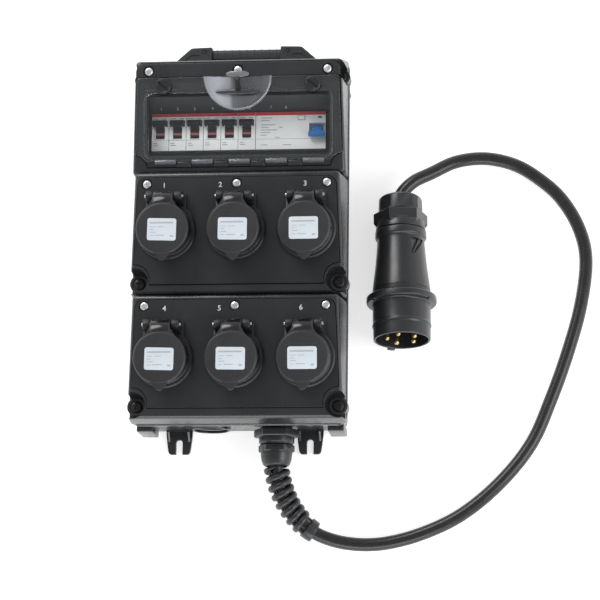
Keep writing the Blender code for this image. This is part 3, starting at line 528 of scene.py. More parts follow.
def number(name, text, size, loc, tilt, finish):
    """Raised figure centred on loc."""
    curve = bpy.data.curves.new(name, "FONT")
    curve.body, curve.size, curve.extrude = text, size * MM, 0.12 * MM
    curve.align_x, curve.align_y = "CENTER", "CENTER"
    curve.offset = size * MM * 0.016
    source = bpy.data.objects.new(name, curve)
    bpy.context.scene.collection.objects.link(source)
    bpy.context.view_layer.update()
    depsgraph = bpy.context.evaluated_depsgraph_get()
    mesh = bpy.data.meshes.new_from_object(source.evaluated_get(depsgraph))
    bpy.data.objects.remove(source, do_unlink=True)
    ob = bpy.data.objects.new(name, mesh)
    bpy.context.scene.collection.objects.link(ob)
    mesh.materials.clear()
    mesh.materials.append(FINISH[finish])
    ob.location, ob.rotation_euler = Vector(loc) * MM, (tilt, 0, 0)
    register(ob, "box")


# ================================================================ outlines and solids
def circle_angles(count):
    return [2 * math.pi * i / count for i in range(count)]


def arc(centre_x, centre_y, radius, start, sweep, steps):
    """Points on an arc; angles in degrees."""
    angles = [math.radians(start + sweep * i / steps) for i in range(steps + 1)]
    return [(centre_x + radius * math.cos(a), centre_y + radius * math.sin(a)) for a in angles]


def rounded(x0, x1, y0, y1, radius, steps=6):
    """Rectangle with round corners."""
    return (arc(x1 - radius, y1 - radius, radius, 0, 90, steps)
            + arc(x0 + radius, y1 - radius, radius, 90, 90, steps)
            + arc(x0 + radius, y0 + radius, radius, 180, 90, steps)
            + arc(x1 - radius, y0 + radius, radius, 270, 90, steps))


def mirrored(right):
    """Closes a right-hand outline with its mirror image."""
    return right + [(-x, y) for x, y in reversed(right)]


def level(outline, z):
    return [(x, y, z) for x, y in outline]


def stepped(sides, steps, radius, growth, corner_steps):
    """Rounded rectangles about sides (x0, x1, y0, y1), one per (margin, z) step;
    the corner radius grows with the margin."""
    x0, x1, y0, y1 = sides
    return [level(rounded(x0 - d, x1 + d, y0 - d, y1 + d, radius + d * growth, corner_steps), z)
            for d, z in steps]


def soft(profile, radius=0.6, steps=3):
    """Rounds the corners of a turned outline that are not on the axis."""
    out = []
    for i, (x, z) in enumerate(profile):
        corner = Vector((x, z))
        before = Vector(profile[i - 1]) - corner
        after = Vector(profile[(i + 1) % len(profile)]) - corner
        if x < 1e-6 or before.length < 1e-6 or after.length < 1e-6:
            out.append((x, z))
            continue
        reach = min(radius, before.length * 0.45, after.length * 0.45)
        start = corner + before / before.length * reach
        end = corner + after / after.length * reach
        for j in range(steps + 1):
            t = j / steps
            point = start * (1 - t) ** 2 + corner * 2 * t * (1 - t) + end * t * t
            out.append((max(point.x, 0.0), point.y))
    return out


def skin(rings, closed=False):
    """Joins closed rings; the ends are capped, or joined to each other if closed."""
    bm = bmesh.new()
    rows = [[bm.verts.new(point) for point in ring] for ring in rings]
    count = len(rows[0])
    for a, b in list(zip(rows, rows[1:])) + ([(rows[-1], rows[0])] if closed else []):
        for i in range(count):
            j = (i + 1) % count
            bm.faces.new((a[i], a[j], b[j], b[i]))
    if not closed:
        bm.faces.new(list(reversed(rows[0])))
        bm.faces.new(rows[-1])
    return bm


def sheet(lines):
    """Open surface through rows of points."""
    bm = bmesh.new()
    rows = [[bm.verts.new(point) for point in line] for line in lines]
    for a, b in zip(rows, rows[1:]):
        for i in range(len(a) - 1):
            bm.faces.new((a[i], a[i + 1], b[i + 1], b[i]))
    return bm


def block(x0, x1, y0, y1, z0, z1, bevel=0.0, segments=2):
    bm = skin([[(x0, y0, z), (x1, y0, z), (x1, y1, z), (x0, y1, z)] for z in (z0, z1)])
    if bevel:
        bmesh.ops.bevel(bm, geom=bm.edges[:], offset=bevel, segments=segments,
                        profile=0.5, affect="EDGES")
    return bm


def prism(points, start, end, axis="Z", bevel=0.0):
    """Outline run along an axis; bevel softens the rims of its two ends."""
    def at(point, z):
        return (z, *point) if axis == "X" else (*point, z)
    bm = skin([[at(point, z) for point in points] for z in (start, end)])
    if bevel:
        k = "XYZ".index(axis)
        rim = [e for e in bm.edges if abs(e.verts[0].co[k] - e.verts[1].co[k]) < 1e-6]
        bmesh.ops.bevel(bm, geom=rim, offset=bevel, segments=2, profile=0.5, affect="EDGES")
    return bm


def turned(profile, sides, axis="Z", centre=ORIGIN, phase=0.0):
    """Closed (radius, distance along the axis) profile turned about an axis."""
    bm = bmesh.new()

    def vertex(radius, z, angle):
        c, s = radius * math.cos(angle), radius * math.sin(angle)
        point = {"Z": (c, s, z), "X": (z, c, s), "Y": (s, z, c)}[axis]
        return bm.verts.new([p + q for p, q in zip(point, centre)])
    rows = []
    for radius, z in profile:
        if radius < 1e-6:
            rows.append([vertex(0, z, 0)] * sides)
        else:
            rows.append([vertex(radius, z, phase + a) for a in circle_angles(sides)])
    for a, b in zip(rows, rows[1:] + rows[:1]):
        for i in range(sides):
            j = (i + 1) % sides
            corners = []
            for corner in (a[i], a[j], b[j], b[i]):
                if corner not in corners:
                    corners.append(corner)
            if len(corners) > 2:
                bm.faces.new(corners)
    return bm


def rod(radius, start, end, sides, axis="Z", centre=ORIGIN):
    return turned([(0, start), (radius, start), (radius, end), (0, end)], sides, axis, centre)


def spun(bm, angle):
    """Turns a shape about Z."""
    bmesh.ops.rotate(bm, verts=bm.verts, cent=ORIGIN, matrix=Matrix.Rotation(angle, 3, "Z"))
    return bm


def front_tilt(face):
    (_, height0, z0), (_, height1, z1) = face
    return math.atan2(z1 - z0, height1 - height0)


def front_pose(face):
    """Place and rotation of a front face's own axes, at its lower edge."""
    return Vector((0, up(face[0][1]), face[0][2])), (front_tilt(face), 0, 0)


def on_front(face, x, along, out=0.0):
    """Point on a front face: across, up along its slope and out of it."""
    at, (tilt, _, _) = front_pose(face)
    return at + Vector((x, along * math.cos(tilt) - out * math.sin(tilt),
                        along * math.sin(tilt) + out * math.cos(tilt)))


# ================================================================ rear housing
def frame_foot(side):
    """Corner foot, lug and lug ribs at one side of the lower end."""
    centre = side * 69.5
    half_lug = [(14.3, 8), (13.8, -2), (12.9, -10), (11.9, -17.5), (11.2, -20.4), (9.8, -22.0),
                (8.4, -22.3)]       # half width, height
    outline = ([(centre - x, up(height)) for x, height in half_lug]
               + [(centre + x, up(height)) for x, height in reversed(half_lug)])
    shapes = [block(side * 100 - 8.5, side * 100 + 8.5, up(-4.3), up(4), 6, 48, 1.0, 3),
              prism(outline, 0.02, 5)]
    for rib in (-10.6, 10.6):
        shapes.append(prism([(up(4), 4.5), (up(-9), 4.8), (up(0.5), 13.0), (up(4), 13.0)],
                            centre + rib - 1.1, centre + rib + 1.1, "X"))
    return shapes


def rear_housing():
    top = PARTING - GAP
    floor = rounded(-108.5, 108.5, up(3), up(383), 9)
    mouth = rounded(-HALF_WIDTH, HALF_WIDTH, up(0), up(BOX_TOP), 10)
    rim = rounded(-HALF_WIDTH - 0.9, HALF_WIDTH + 0.9, up(-0.9), up(BOX_TOP + 0.9), 10.5)
    share = (top - 6.2) / top
    below_rim = [(p[0] + (q[0] - p[0]) * share, p[1] + (q[1] - p[1]) * share)
                 for p, q in zip(floor, mouth)]
    rings = [
        level(rounded(-107.3, 107.3, up(4.2), up(381.8), 8.5), 0),
        level(floor, 1.2),
        level(below_rim, top - 6.2),
        level(rim, top - 5.4),
        level(rim, top - 0.8),
        level(rounded(-HALF_WIDTH + 0.1, HALF_WIDTH - 0.1, up(0.1), up(BOX_TOP - 0.1), 10), top),
        level(rounded(-HALF_WIDTH + WALL, HALF_WIDTH - WALL, up(WALL), up(BOX_TOP - WALL), 7),
              top),
        level(rounded(-105.5, 105.5, up(6), up(380), 6), WALL)]
    ob = mesh_object("rear_housing_shell", skin(rings), "housing_plastic")
    shapes = []
    for side in SIDES:
        for height in SCREW_HEIGHTS:
            fix = fixing(height)
            post = [(0, 0.9), (3.4, 0.9), (3.4, 46.0), (fix.radius, 56.0),
                    (fix.radius, top - 0.2), (0, top - 0.2)]
            shapes.append(turned(post, 48, centre=(side * fix.x, up(height), 0)))
        shapes += frame_foot(side)
    join(ob, shapes)

    holes = []
    for side in SIDES:
        slot = [(side * 69.5 + x, up(-9) + y) for x, y in rounded(-3.5, 3.5, -22, 2.2, 3.4, 8)]
        holes.append(prism(slot, -1, 6))
        for height in SCREW_HEIGHTS:
            holes.append(rod(2.2, 47.0, 70.0, 20, centre=(side * fixing(height).x, up(height), 0)))
    for x, radius in ((GLAND_X, 16.4), (HOLE_X, 17.5)):
        holes.append(rod(radius, up(-6), up(12), 72, "Y", (x, 0, ENTRY_Z)))
    # ring grooves in the lower end: x, inner and outer radius
    for x, inner, outer in ((-75.0, 12.0, 13.0), (76.0, 12.0, 13.0), (-75.0, 8.6, 9.4),
                            (76.0, 8.6, 9.4), (HOLE_X, 25.4, 26.2), (HOLE_X, 21.6, 22.2)):
        holes.append(turned([(inner, up(-3)), (outer, up(-3)), (outer, up(2.4)),
                             (inner, up(2.4))], 64, "Y", (x, 0, ENTRY_Z)))
    cut(ob, holes)
    register(ob, "box", "rear_housing")
    # raised ring round the open entry
    ring = soft([(17.6, up(-1.4)), (20.0, up(-1.4)), (20.8, up(1.6)), (17.6, up(1.6))], 0.5)
    part("entry_ring", turned(ring, 72, "Y", (HOLE_X, 0, ENTRY_Z)), "housing_plastic", "box")


# ================================================================ front hoods
def frustum(height0, height1, face, inset=0.0):
    """Block from the parting plane to a front face; inset gives the hollow inside."""
    (half0, edge0, z0), (half1, edge1, z1) = face
    half = HALF_WIDTH - inset
    low = PARTING - (5 if inset else 0)
    base = [(-half, up(height0 + inset), low), (half, up(height0 + inset), low),
            (half, up(height1 - inset), low), (-half, up(height1 - inset), low)]
    top = [(-half0 + inset, up(edge0 + inset), z0 - inset),
           (half0 - inset, up(edge0 + inset), z0 - inset),
           (half1 - inset, up(edge1 - inset), z1 - inset),
           (-half1 + inset, up(edge1 - inset), z1 - inset)]
    bm = skin([base, top])
    edges = [e for e in bm.edges if not all(v.co.z == low for v in e.verts)]
    bmesh.ops.bevel(bm, geom=edges, offset=1.5 if inset else 4.0, segments=1 if inset else 6,
                    profile=0.5, affect="EDGES")
    return bm


def volume(mesh):
    bm = bmesh.new()
    bm.from_mesh(mesh)
    total = bm.calc_volume(signed=True)
    bm.free()
    return total


def hollow(ob, height0, height1, face, heights):
    """Hollows a hood but leaves it solid round the screws. Takes another number of
    facets when the cut comes out empty or hasn't cut, and a plain hollow at last."""
    before = ob.data.copy()
    full = volume(before)
    for facets in (36, 28, 40, 44, 26, 34, 52, 22, 60):
        cavity = cutter(frustum(height0, height1, face, WALL))
        cut(cavity, [rod(fix.clear_radius, 50.0, 125.0, facets, centre=well)
                     for fix, _, well in at_fixings(heights)])
        boolean(ob, [cavity], "DIFFERENCE")
        if 0.1 * full < volume(ob.data) < full - 0.0003:
            return
        ob.data = before.copy()
    cut(ob, [frustum(height0, height1, face, WALL)])


def finish_hood(ob, heights, openings):
    """Screw wells, ears and their seats, and the openings in the front."""
    spots = at_fixings(heights)
    cut(ob, [rod(fix.well_radius, 72.0, 130.0, 56, centre=well) for fix, _, well in spots])
    join(ob, [turned(soft([(0, PARTING + 0.2), (fix.radius, PARTING + 0.2),
                           (fix.radius, 74.0), (0, 74.0)], 0.8), 48, centre=screw)
              for fix, screw, _ in spots])
    seats = [cutter(rod(fix.radius - 2.8, 72.6, 80, 40, centre=screw)) for fix, screw, _ in spots]
    boolean(ob, seats + openings, "DIFFERENCE")


def barrel_holes(key, start, end):
    return [rod(BARREL_R + 0.9, start, end, 72, centre=(x, SOCKET_Y[key], 0)) for x in SOCKET_X]


def hood_openings(key):
    return [cutter(hole, *front_pose(FACES[key])) for hole in barrel_holes(key, -8, 5)]


def upper_hood():
    ob = mesh_object("upper_hood_shell", frustum(259.7, BOX_TOP, FACE_DEVICE), "hood_plastic")
    join(ob, [frustum(130.3, 260.4, FACES["upper"])])
    hollow(ob, 259.7, BOX_TOP, FACE_DEVICE, SCREW_HEIGHTS[2:])
    hollow(ob, 130.3, 260.4, FACES["upper"], SCREW_HEIGHTS[1:2])
    window = cutter(prism(rounded(*WINDOW, 4, 6), -12, 8), *front_pose(FACE_DEVICE))
    finish_hood(ob, SCREW_HEIGHTS[1:], [window] + hood_openings("upper"))
    register(ob, "box", "upper_front_hood")


def lower_hood():
    ob = mesh_object("lower_hood_shell", frustum(0.3, 129.7, FACES["lower"]), "hood_plastic")
    hollow(ob, 0.3, 129.7, FACES["lower"], SCREW_HEIGHTS[:1])
    finish_hood(ob, SCREW_HEIGHTS[:1], hood_openings("lower"))
    register(ob, "box", "lower_front_hood")


def window_surround():
    """Shallow raised frame on the hood, under the flap."""
    steps = ((3.4, 0.0), (3.0, 0.75), (0.2, 0.75), (0.0, 0.4), (0.0, -9.0), (1.4, -9.0))
    rings = stepped(WINDOW, steps, radius=4, growth=0.5, corner_steps=8)
    part("window_surround", skin(rings, closed=True), "hood_plastic", "box",
         *front_pose(FACE_DEVICE))


def flap_outline_gap():
    """Dark line of painted shade in the gap that follows the flap's scooped corners and runs below
    its hinge.
    """
    right = [(106.9, 101.2), (107.4, 80.0), (107.9, 60.0), (108.4, 40.0), (108.8, 24.0)]
    right += [point for point in arc(109.6, 7.2, 12.9, 84, 96, 14) if point[0] < 108.8]
    path = mirrored(right)
    rows = []
    for i, (x, y) in enumerate(path):
        a, b = Vector(path[max(i - 1, 0)]), Vector(path[min(i + 1, len(path) - 1)])
        side = Vector((b.y - a.y, a.x - b.x)).normalized() * 0.55
        rows.append([(x - side.x, y - side.y, -1.2), (x + side.x, y + side.y, -1.2),
                     (x + side.x, y + side.y, 0.16), (x - side.x, y - side.y, 0.16)])
    part("flap_outline_gap", skin(rows), "gap", "box", *front_pose(FACE_DEVICE),
         slot="hood_plastic")


def hinge_lugs():
    """Lugs between the flap's knuckles."""
    for i, x in enumerate((-57.0, -18.2, 20.6, 59.5)):
        part("hinge_lug_%d" % (i + 1), block(x - 7.3, x + 7.3, 6.7, 12.9, -0.5, 4.2, 1.0, 3),
             "hood_plastic", "box", *front_pose(FACE_DEVICE))


# ================================================================ cover plates and screws
def counterbores(radius, y):
    return [turned([(0, 0.4), (radius, 0.4), (radius + 1.0, 2.6), (0, 2.6)], 40, centre=(x, y, 0))
            for x in COVER_SCREW_X]


def panel_outline():
    """Round upper corners and scoops round the lower corner screws."""
    bottom, top, half_top, half_widest, corner = 10.5, 122.0, 103.5, 107.0, 10.0
    right = arc(half_top - corner, top - corner, corner, 90, -90, 12)
    for x, y in arc(BOSS_X + 1.5, 16.0, 15.8, 84, 109, 24):
        if y > bottom + 0.3:
            right.append((min(x, half_widest), y))
    right.append((right[-1][0] - 0.4, bottom))
    return mirrored(right)


def panels():
    outline = panel_outline()
    margin, middle = 0.85, 66.2
    shadow = [(x * (1 + margin / 105), middle + (y - middle) * (1 + margin / 55.8))
              for x, y in outline]
    for key, face in FACES.items():
        pose = front_pose(face)
        # painted shade: a near-black outline under each plate stands for the shade in the groove
        # round it
        part("%s_panel_gap" % key, prism(shadow, -1.5, 0.3), "gap", "box", *pose,
             slot="hood_plastic")
        ob = mesh_object("%s_panel_plate" % key, prism(outline, 0.1, 2.0), "panel_plastic", *pose)
        cut(ob, barrel_holes(key, -3, 6) + counterbores(5.2, PANEL_SCREW_Y), *pose)
        register(ob, "box", "%s_socket_panel" % key)


def strip():
    """The screwed plate above the flap."""
    pose = front_pose(FACE_DEVICE)
    outline = mirrored([(107.2, 101.9), (107.2, 108.0), (106.9, 110.2), (106.0, 111.8),
                        (102.6, 115.9), (101.4, 116.6)])
    shadow = [(x * 1.006, 108 + (y - 108) * 1.11) for x, y in outline]
    # painted shade: a near-black outline under the plate stands for the shade in the groove round
    # it
    part("top_strip_gap", prism(shadow, -1.5, 0.3), "gap", "box", *pose, slot="hood_plastic")
    ob = mesh_object("top_strip_plate", prism(outline, 0.2, 1.9, bevel=0.3), "hood_plastic", *pose)
    cut(ob, counterbores(5.6, STRIP_SCREW_Y), *pose)
    register(ob, "box", "top_strip")


def screw_mesh(radius, height, slot_depth=1.0):
    """Domed head with a cross recess."""
    profile = [(0, 0), (radius, 0), (radius, height * 0.35), (radius * 0.86, height * 0.75),
               (radius * 0.55, height * 0.96), (0, height)]
    ob = cutter(turned(soft(profile, 0.3), 40))
    half, reach, bottom = radius * 0.11, radius * 0.62, height - slot_depth
    cut(ob, [block(-reach, reach, -half, half, bottom, height + 1),
             block(-half, half, -reach, reach, bottom, height + 1)])
    return detach(ob)


def screws():
    head = screw_mesh(4.4, 2.2)
    count = 0
    for _, face, y in COVER_SCREW_ROWS:
        for x in COVER_SCREW_X:
            count += 1
            place("cover_screw_%d" % count, head, "screw", "box", on_front(face, x, y, 0.45),
                  front_tilt(face), spin=0.4 + count * 1.1, slot="zinc_steel")
    # painted shade: dark rims in the counterbores, where shade falls in the recess
    low = 0.42
    profile = [(4.5, low), (5.7, low), (6.3, low + 1.0), (6.15, low + 1.0), (5.6, low + 0.12),
               (4.5, low + 0.12)]
    for key, face, y in COVER_SCREW_ROWS:
        for i, x in enumerate(COVER_SCREW_X):
            part("%s_counterbore_%d" % (key, i + 1), turned(profile, 40, centre=(x, y, 0)),
                 "gloss_black", "box", *front_pose(face), slot="hood_plastic")
    big, small = screw_mesh(6.2, 2.6, 1.6), screw_mesh(5.0, 2.4, 1.5)
    count = 0
    for height in SCREW_HEIGHTS:
        for side in SIDES:
            count += 1
            place("corner_screw_%d" % count, small if height > 300 else big, "black_screw", "box",
                  (side * fixing(height).x, up(height), 72.7), 0.0, spin=0.3 + count * 0.9,
                  slot="housing_plastic")


# ================================================================ clear flap
GRIP_Y = FLAP_LENGTH + 0.6      # centre of the half-round finger grip
GRIP_ANGLES = [math.pi + math.pi * i / 64 for i in range(65)]


def flap_sheet(outline, pose):
    """Sheet with a stepped pane, open inside the grip and round the knobs."""
    ob = mesh_object("clear_flap_sheet", prism(outline, -2.6, 0.4), "clear_plastic", *pose)
    pane = stepped((-95, 95, 6.5, 68.5), ((4.0, 0.2), (3.6, 1.5), (3.0, 1.9)),
                   radius=5, growth=1, corner_steps=8)
    join(ob, [skin(pane)], *pose)
    disc = turned(soft([(0, -6), (34.4, -6), (34.4, 9), (0, 9)], 0.2), 96, centre=(0, GRIP_Y, 0))
    cut(ob, [disc] + [rod(4.4, -6, 6, 40, centre=(side * KNOB_X, KNOB_Y, 0)) for side in SIDES],
        *pose)
    return ob


def grip_dish():
    rows = []
    for j in range(15):
        t = j / 14
        radius = 35.0 * (1 - t)
        z = 1.9 - 4.7 * math.sin(min(1.0, t * 1.5) * math.pi / 2) if j else 0.3
        rows.append([(radius * math.cos(a), GRIP_Y + radius * math.sin(a), z)
                     for a in GRIP_ANGLES])
    return sheet(rows)


def grip_rim():
    profile = ((33.6, 1.6), (34.0, 2.6), (35.0, 2.8), (35.8, 2.0), (35.9, 0.2), (33.6, 0.2))
    return skin([[(r * math.cos(a), GRIP_Y + r * math.sin(a), z) for r, z in profile]
                 for a in GRIP_ANGLES])


def grip_bulge(half, swell_half, swell, least, y, z, thickness, full, sides):
    """Bar along X that swells towards its middle. Thickness is the half thickness
    where the half height equals full."""
    rings = []
    for k in range(33):
        x = -half * math.cos(math.pi * k / 32)
        height = swell * math.sqrt(max(0.0, 1 - (x / swell_half) ** 2)) + least
        rings.append([(x, y + height * math.cos(a),
                       z + thickness * math.sin(a) * (height / full))
                      for a in circle_angles(sides)])
    return skin(rings)


def flap():
    pose = on_front(FACE_DEVICE, 0, *FLAP_AXIS), (front_tilt(FACE_DEVICE), 0, 0)
    top = FLAP_LENGTH
    right = [(104.5, top), (105.6, top - 0.6), (106.0, top - 2.0)]
    right += arc(109.5, -5.5, 13.6, 95, 55, 16) + [(97.4, 1.2)]
    ob = flap_sheet(mirrored(right), pose)

    def detail(name, bm, finish, angle=60):
        part(name, bm, finish, "flap", *pose, angle=angle, slot="clear_plastic")
    # the sheet's edge gathers the light and reads darker than its face
    edge = [(x * 1.001, y * 1.001) for x, y in mirrored([(35.6, top)] + right)]
    detail("flap_edge_band", sheet([level(edge, 0.35), level(edge, -2.55)]), "edge")
    for i, x in enumerate((-76.5, -37.6, 1.2, 40.0, 78.9)):
        profile = soft([(0, x - 11), (2.8, x - 11), (2.8, x + 11), (0, x + 11)], 0.5)
        detail("flap_knuckle_%d" % (i + 1), turned(profile, 32, "X"), "frost", angle=35)
    # painted reflection: the dish's finish is milkier on its left side
    detail("grip_dish", grip_dish(), "grip")
    detail("grip_rim", grip_rim(), "rim")
    # painted shade: the ledge's finish stands for the shade line along it
    detail("grip_ledge", grip_bulge(half=23.1, swell_half=23.2, swell=2.9, least=0.15,
                                    y=top - 15.8, z=0.6, thickness=1.5, full=3.0, sides=16),
           "ledge")
    # painted highlight: the lip's milky finish stands for the highlight on it
    detail("grip_lip", grip_bulge(half=12.15, swell_half=12.2, swell=3.3, least=0.2,
                                  y=top + 2.6, z=2.2, thickness=1.4, full=3.5, sides=20),
           "lip")
    register(ob, "flap", "clear_flap")


def flap_knobs():
    profile = soft([(0, -2.9), (4.0, -2.9), (4.0, 0.7), (8.7, 0.7), (8.7, 3.8), (7.6, 5.0),
                    (6.6, 5.0), (6.2, 4.6), (0, 4.6)], 0.35)
    for side, name in ((-1, "left"), (1, "right")):
        at = on_front(FACE_DEVICE, side * KNOB_X, FLAP_AXIS[0] + KNOB_Y, FLAP_AXIS[1])
        pose = at, (front_tilt(FACE_DEVICE), 0, 0)
        ob = mesh_object("flap_knob_%s_turned" % name, turned(profile, 64), "knob_plastic", *pose)
        cut(ob, [spun(block(-6.6, 6.6, -1.0, 1.0, 3.0, 7.0), math.radians(-38))], *pose)
        register(ob, "knob_" + name, "flap_knob_" + name)


# ================================================================ devices
def decal(name, x0, x1, height0, height1, finish, below=0.2, above=0.1):
    """Thin block sunk below and standing above the device fronts."""
    part(name, block(x0, x1, up(height0), up(height1), NOSE_Z - below, NOSE_Z + above),
         finish, "box", slot="device_plastic")


def prints(tag, left, rows):
    """Bars in place of small print; rows are (x from left, width, height)."""
    for k, (x, width, height) in enumerate(rows):
        decal("%s_print_%d" % (tag, k + 1), left + x, left + x + width, height - 0.4,
              height + 0.4, "grey_print")


def well_rim(name, sides, outer):
    """Frame round a lever; outer gives its two outer (margin, z above front) steps."""
    steps = [(d, NOSE_Z + z) for d, z in outer + ((-0.4, 0.5), (-0.45, -0.1))]
    part(name, skin(stepped(sides, steps, radius=0.8, growth=0, corner_steps=3), closed=True),
         "device_plastic", "box")


def breaker(index):
    x = ROW_X + MODULE * (index - 0.5)
    tag = "breaker_%d" % index
    decal(tag + "_stripe", x - 8.95, x + 8.95, 327.4, 331.05, "red", below=0.3, above=0.12)
    prints(tag, x, ((-7.4, 5.2, 325.6), (2.2, 4.6, 325.6), (-7.2, 4.0, 298.6),
                    (-7.2, 5.6, 296.4)))
    decal(tag + "_band", x - 7.7, x + 7.7, 316.6, 323.4, "toggle_plastic", above=0.3)
    well_rim(tag + "_well_rim", (x - 5.2, x + 5.2, up(303.0), up(317.6)),
             ((0.5, -0.1), (0.4, 0.5)))
    # curved red mark across the lever
    mark = []
    for radius, degrees in ((5.30, range(-34, -9, 3)), (5.0, range(-10, -35, -3))):
        mark += [(radius * math.sin(math.radians(a)), radius * math.cos(math.radians(a)))
                 for a in degrees]
    toggle = "breaker_toggle_%d" % index
    part(toggle + "_mark", prism(mark, x - 4.3, x + 4.3, "X"), "mark", toggle,
         (0, up(310.3), 70.5), slot="toggle_plastic")


def residual_device():
    """Wide device at the right end of the row."""
    decal("residual_stripe", 15.7, 89.2, 327.4, 331.05, "red", below=0.3, above=0.12)
    prints("residual", 0,
           ((21, 12, 324.6), (21, 9, 321.8), (21, 15, 317.2), (21, 8, 314.4), (21, 17, 311.6),
            (21, 10, 308.8), (21, 6, 306.0), (36, 5, 303.2), (40, 4, 314.4), (21, 7, 295.4),
            (44, 9, 295.4)))
    decal("residual_mark", 81.2, 85.4, 323.8, 325.8, "green", above=0.15)
    decal("residual_seam", 15.7, 89.2, 301.6, 302.0, "grey_print", above=0.04)
    well_rim("residual_well_rim", (71.6, 88.8, up(303.2), up(318.8)), ((0.3, -0.1), (0.25, 0.5)))


def devices():
    for index in range(1, 7):
        breaker(index)
    residual_device()
    # numbers on the slope above the devices
    slope = math.atan2(14.5, 14.3)
    for i, x in enumerate((-85.4, -67.8, -49.8, -30.6, -11.6, 8.6, 31.3, 47.3)):
        number("row_number_%d" % (i + 1), str(i + 1), 4.6, (x, up(335.8), 75.48), slope,
               "grey_print")


# ================================================================ outlets
def socket_mesh():
    profile = soft([(0, -20.0), (24.4, -20.0), (25.3, -18.5), (BARREL_R, 2.3), (FLANGE_R, 2.3),
                    (FLANGE_R, 5.0), (FLANGE_R - 1.6, 6.4), (BARREL_R + 1.4, 6.4),
                    (BARREL_R, 8.0), (BARREL_R, 28.0), (WELL_R + 1.0, 28.0),
                    (WELL_R + 0.2, 27.0), (WELL_R, 10.0), (0, 10.0)], 0.5)
    ob = cutter(turned(profile, 96))
    # hinge base and its two ears (y, z)
    ear = [(24.5, 3.0), (27.0, 20.0), (28.0, 24.6), (29.4, 26.6), (31.4, 27.4), (34.0, 27.2),
           (36.4, 26.0), (37.8, 24.0), (38.5, 21.0), (38.8, 3.0)]
    tools = [cutter(prism(rounded(-21.0, 21.0, 14.0, 39.5, 3.0), 2.4, 6.1, bevel=0.7))]
    for side in SIDES:
        tools.append(cutter(prism(ear, side * 14.7 - 3.8, side * 14.7 + 3.8, "X", bevel=0.7)))
    # raised ribs on the right and left of the barrel
    for side in (1, -1):
        tools.append(cutter(block(-1.2, 1.2, -1.0, 1.0, 6, 27.6), (side * 25.6, 0, 0)))
    boolean(ob, tools, "UNION")
    holes = []
    for side in SIDES:
        # contact hole, half of the hinge pin's bore and an earth clip's groove
        holes.append(turned([(0, -6), (2.7, -6), (2.7, 9.2), (3.6, 10.4), (0, 10.4)], 28,
                            centre=(side * 9.5, 0, 0)))
        start, end = (5.0, 40.0) if side < 0 else (-40.0, -5.0)
        holes.append(rod(1.9, start, end, 24, "X", (0, HINGE_Y, HINGE_Z)))
        holes.append(block(-3.0, 3.0, side * 20.3 - 1.8, side * 20.3 + 1.8, 11.0, 26.8))
    cut(ob, holes)
    return detach(ob)


def lid_mesh():
    """Lid about its hinge axis; the outlet centre lies at (0, y, z)."""
    y, z = -HINGE_Y, -HINGE_Z
    cap = soft([(0, z + 31.6), (24.6, z + 31.6), (24.6, z + 28.5), (LID_R - 0.4, z + 28.5),
                (LID_R, z + 29.0), (LID_R, z + 33.2), (LID_R - 1.5, z + 34.7),
                (LID_R - 3.2, z + 35.0), (0, z + 35.0)], 0.5)
    ob = cutter(turned(cap, 112, centre=(0, y - 2.0, 0)))
    # hinge arm (y, z)
    arm = [(-16.0, 9.6), (-16.0, 13.5), (-9.0, 13.6), (-4.0, 12.6), (-0.6, 10.6), (2.4, 7.4),
           (4.4, 4.0), (5.1, 0.4), (4.6, -2.4), (3.0, -4.2), (0.6, -5.0), (-2.0, -4.7),
           (-4.0, -3.2), (-5.2, 0.0), (-6.0, 4.0), (-7.4, 8.2)]
    # finger tab with a round tip, and the web beside the arm
    angles = [math.pi + math.pi * i / 12 for i in range(1, 12)]
    tip = [(4.6 * math.cos(a), y - 31.0 + 4.9 * math.sin(a)) for a in angles]
    tab = [(-11.5, y - 23.5), (-8.4, y - 28.4), (-5.8, y - 30.2)]
    tab = tab + tip + [(-px, py) for px, py in reversed(tab)]
    web = mirrored([(-18.5, -15.2), (-15.0, -12.4), (-12.6, -9.6), (-11.2, -7.0), (-10.7, -5.0)])
    join(ob, [prism(arm, -10.4, 10.4, "X", bevel=0.8),
              prism(tab, z + 30.0, z + 34.4, bevel=0.7),
              prism(web, 8.0, 12.9, bevel=0.5)])
    # the shallow seat the label lies in and a slot by the arm
    cut(ob, [prism(rounded(-16.2, 16.2, y - 14.2, y + 10.6, 2.6), z + 34.75, z + 36.0),
             prism(rounded(-7.6, 7.6, -2.2, 1.2, 1.4, 4), 12.0, 15.0)])
    return detach(ob)


# Glossy cover on the lid's arm (y, z from the hinge).
SPRING_COVER = ((-8.6, 13.75), (-4.0, 12.85), (-0.5, 10.85), (2.6, 7.55), (4.65, 4.1),
                (5.35, 0.4), (4.8, -2.3), (3.2, -2.0), (2.6, 3.0), (-1.0, 8.0), (-6.0, 11.4))
# Rules printed on a label: left x, width, middle y, thickness.
LABEL_RULES = ((-12.4, 24.0, 6.9, 1.5), (-12.2, 5.4, 2.6, 0.5), (-4.6, 7.0, 2.6, 0.5),
               (-12.2, 4.0, -0.2, 0.5), (-12.2, 6.2, -3.0, 0.5), (-12.2, 3.4, -6.4, 0.5),
               (-6.6, 9.6, -6.2, 0.8), (8.6, 3.4, -7.0, 1.8))
LABEL_SPINS = (-1.6, -0.8, 0.2)         # degrees, by column
# Earth clip: distance from the outlet centre, z.
EARTH_CLIP = ((20.9, 11.2), (20.9, 26.4), (20.2, 26.4), (18.3, 23.0), (17.8, 19.5),
              (18.6, 14.5), (20.1, 11.2))


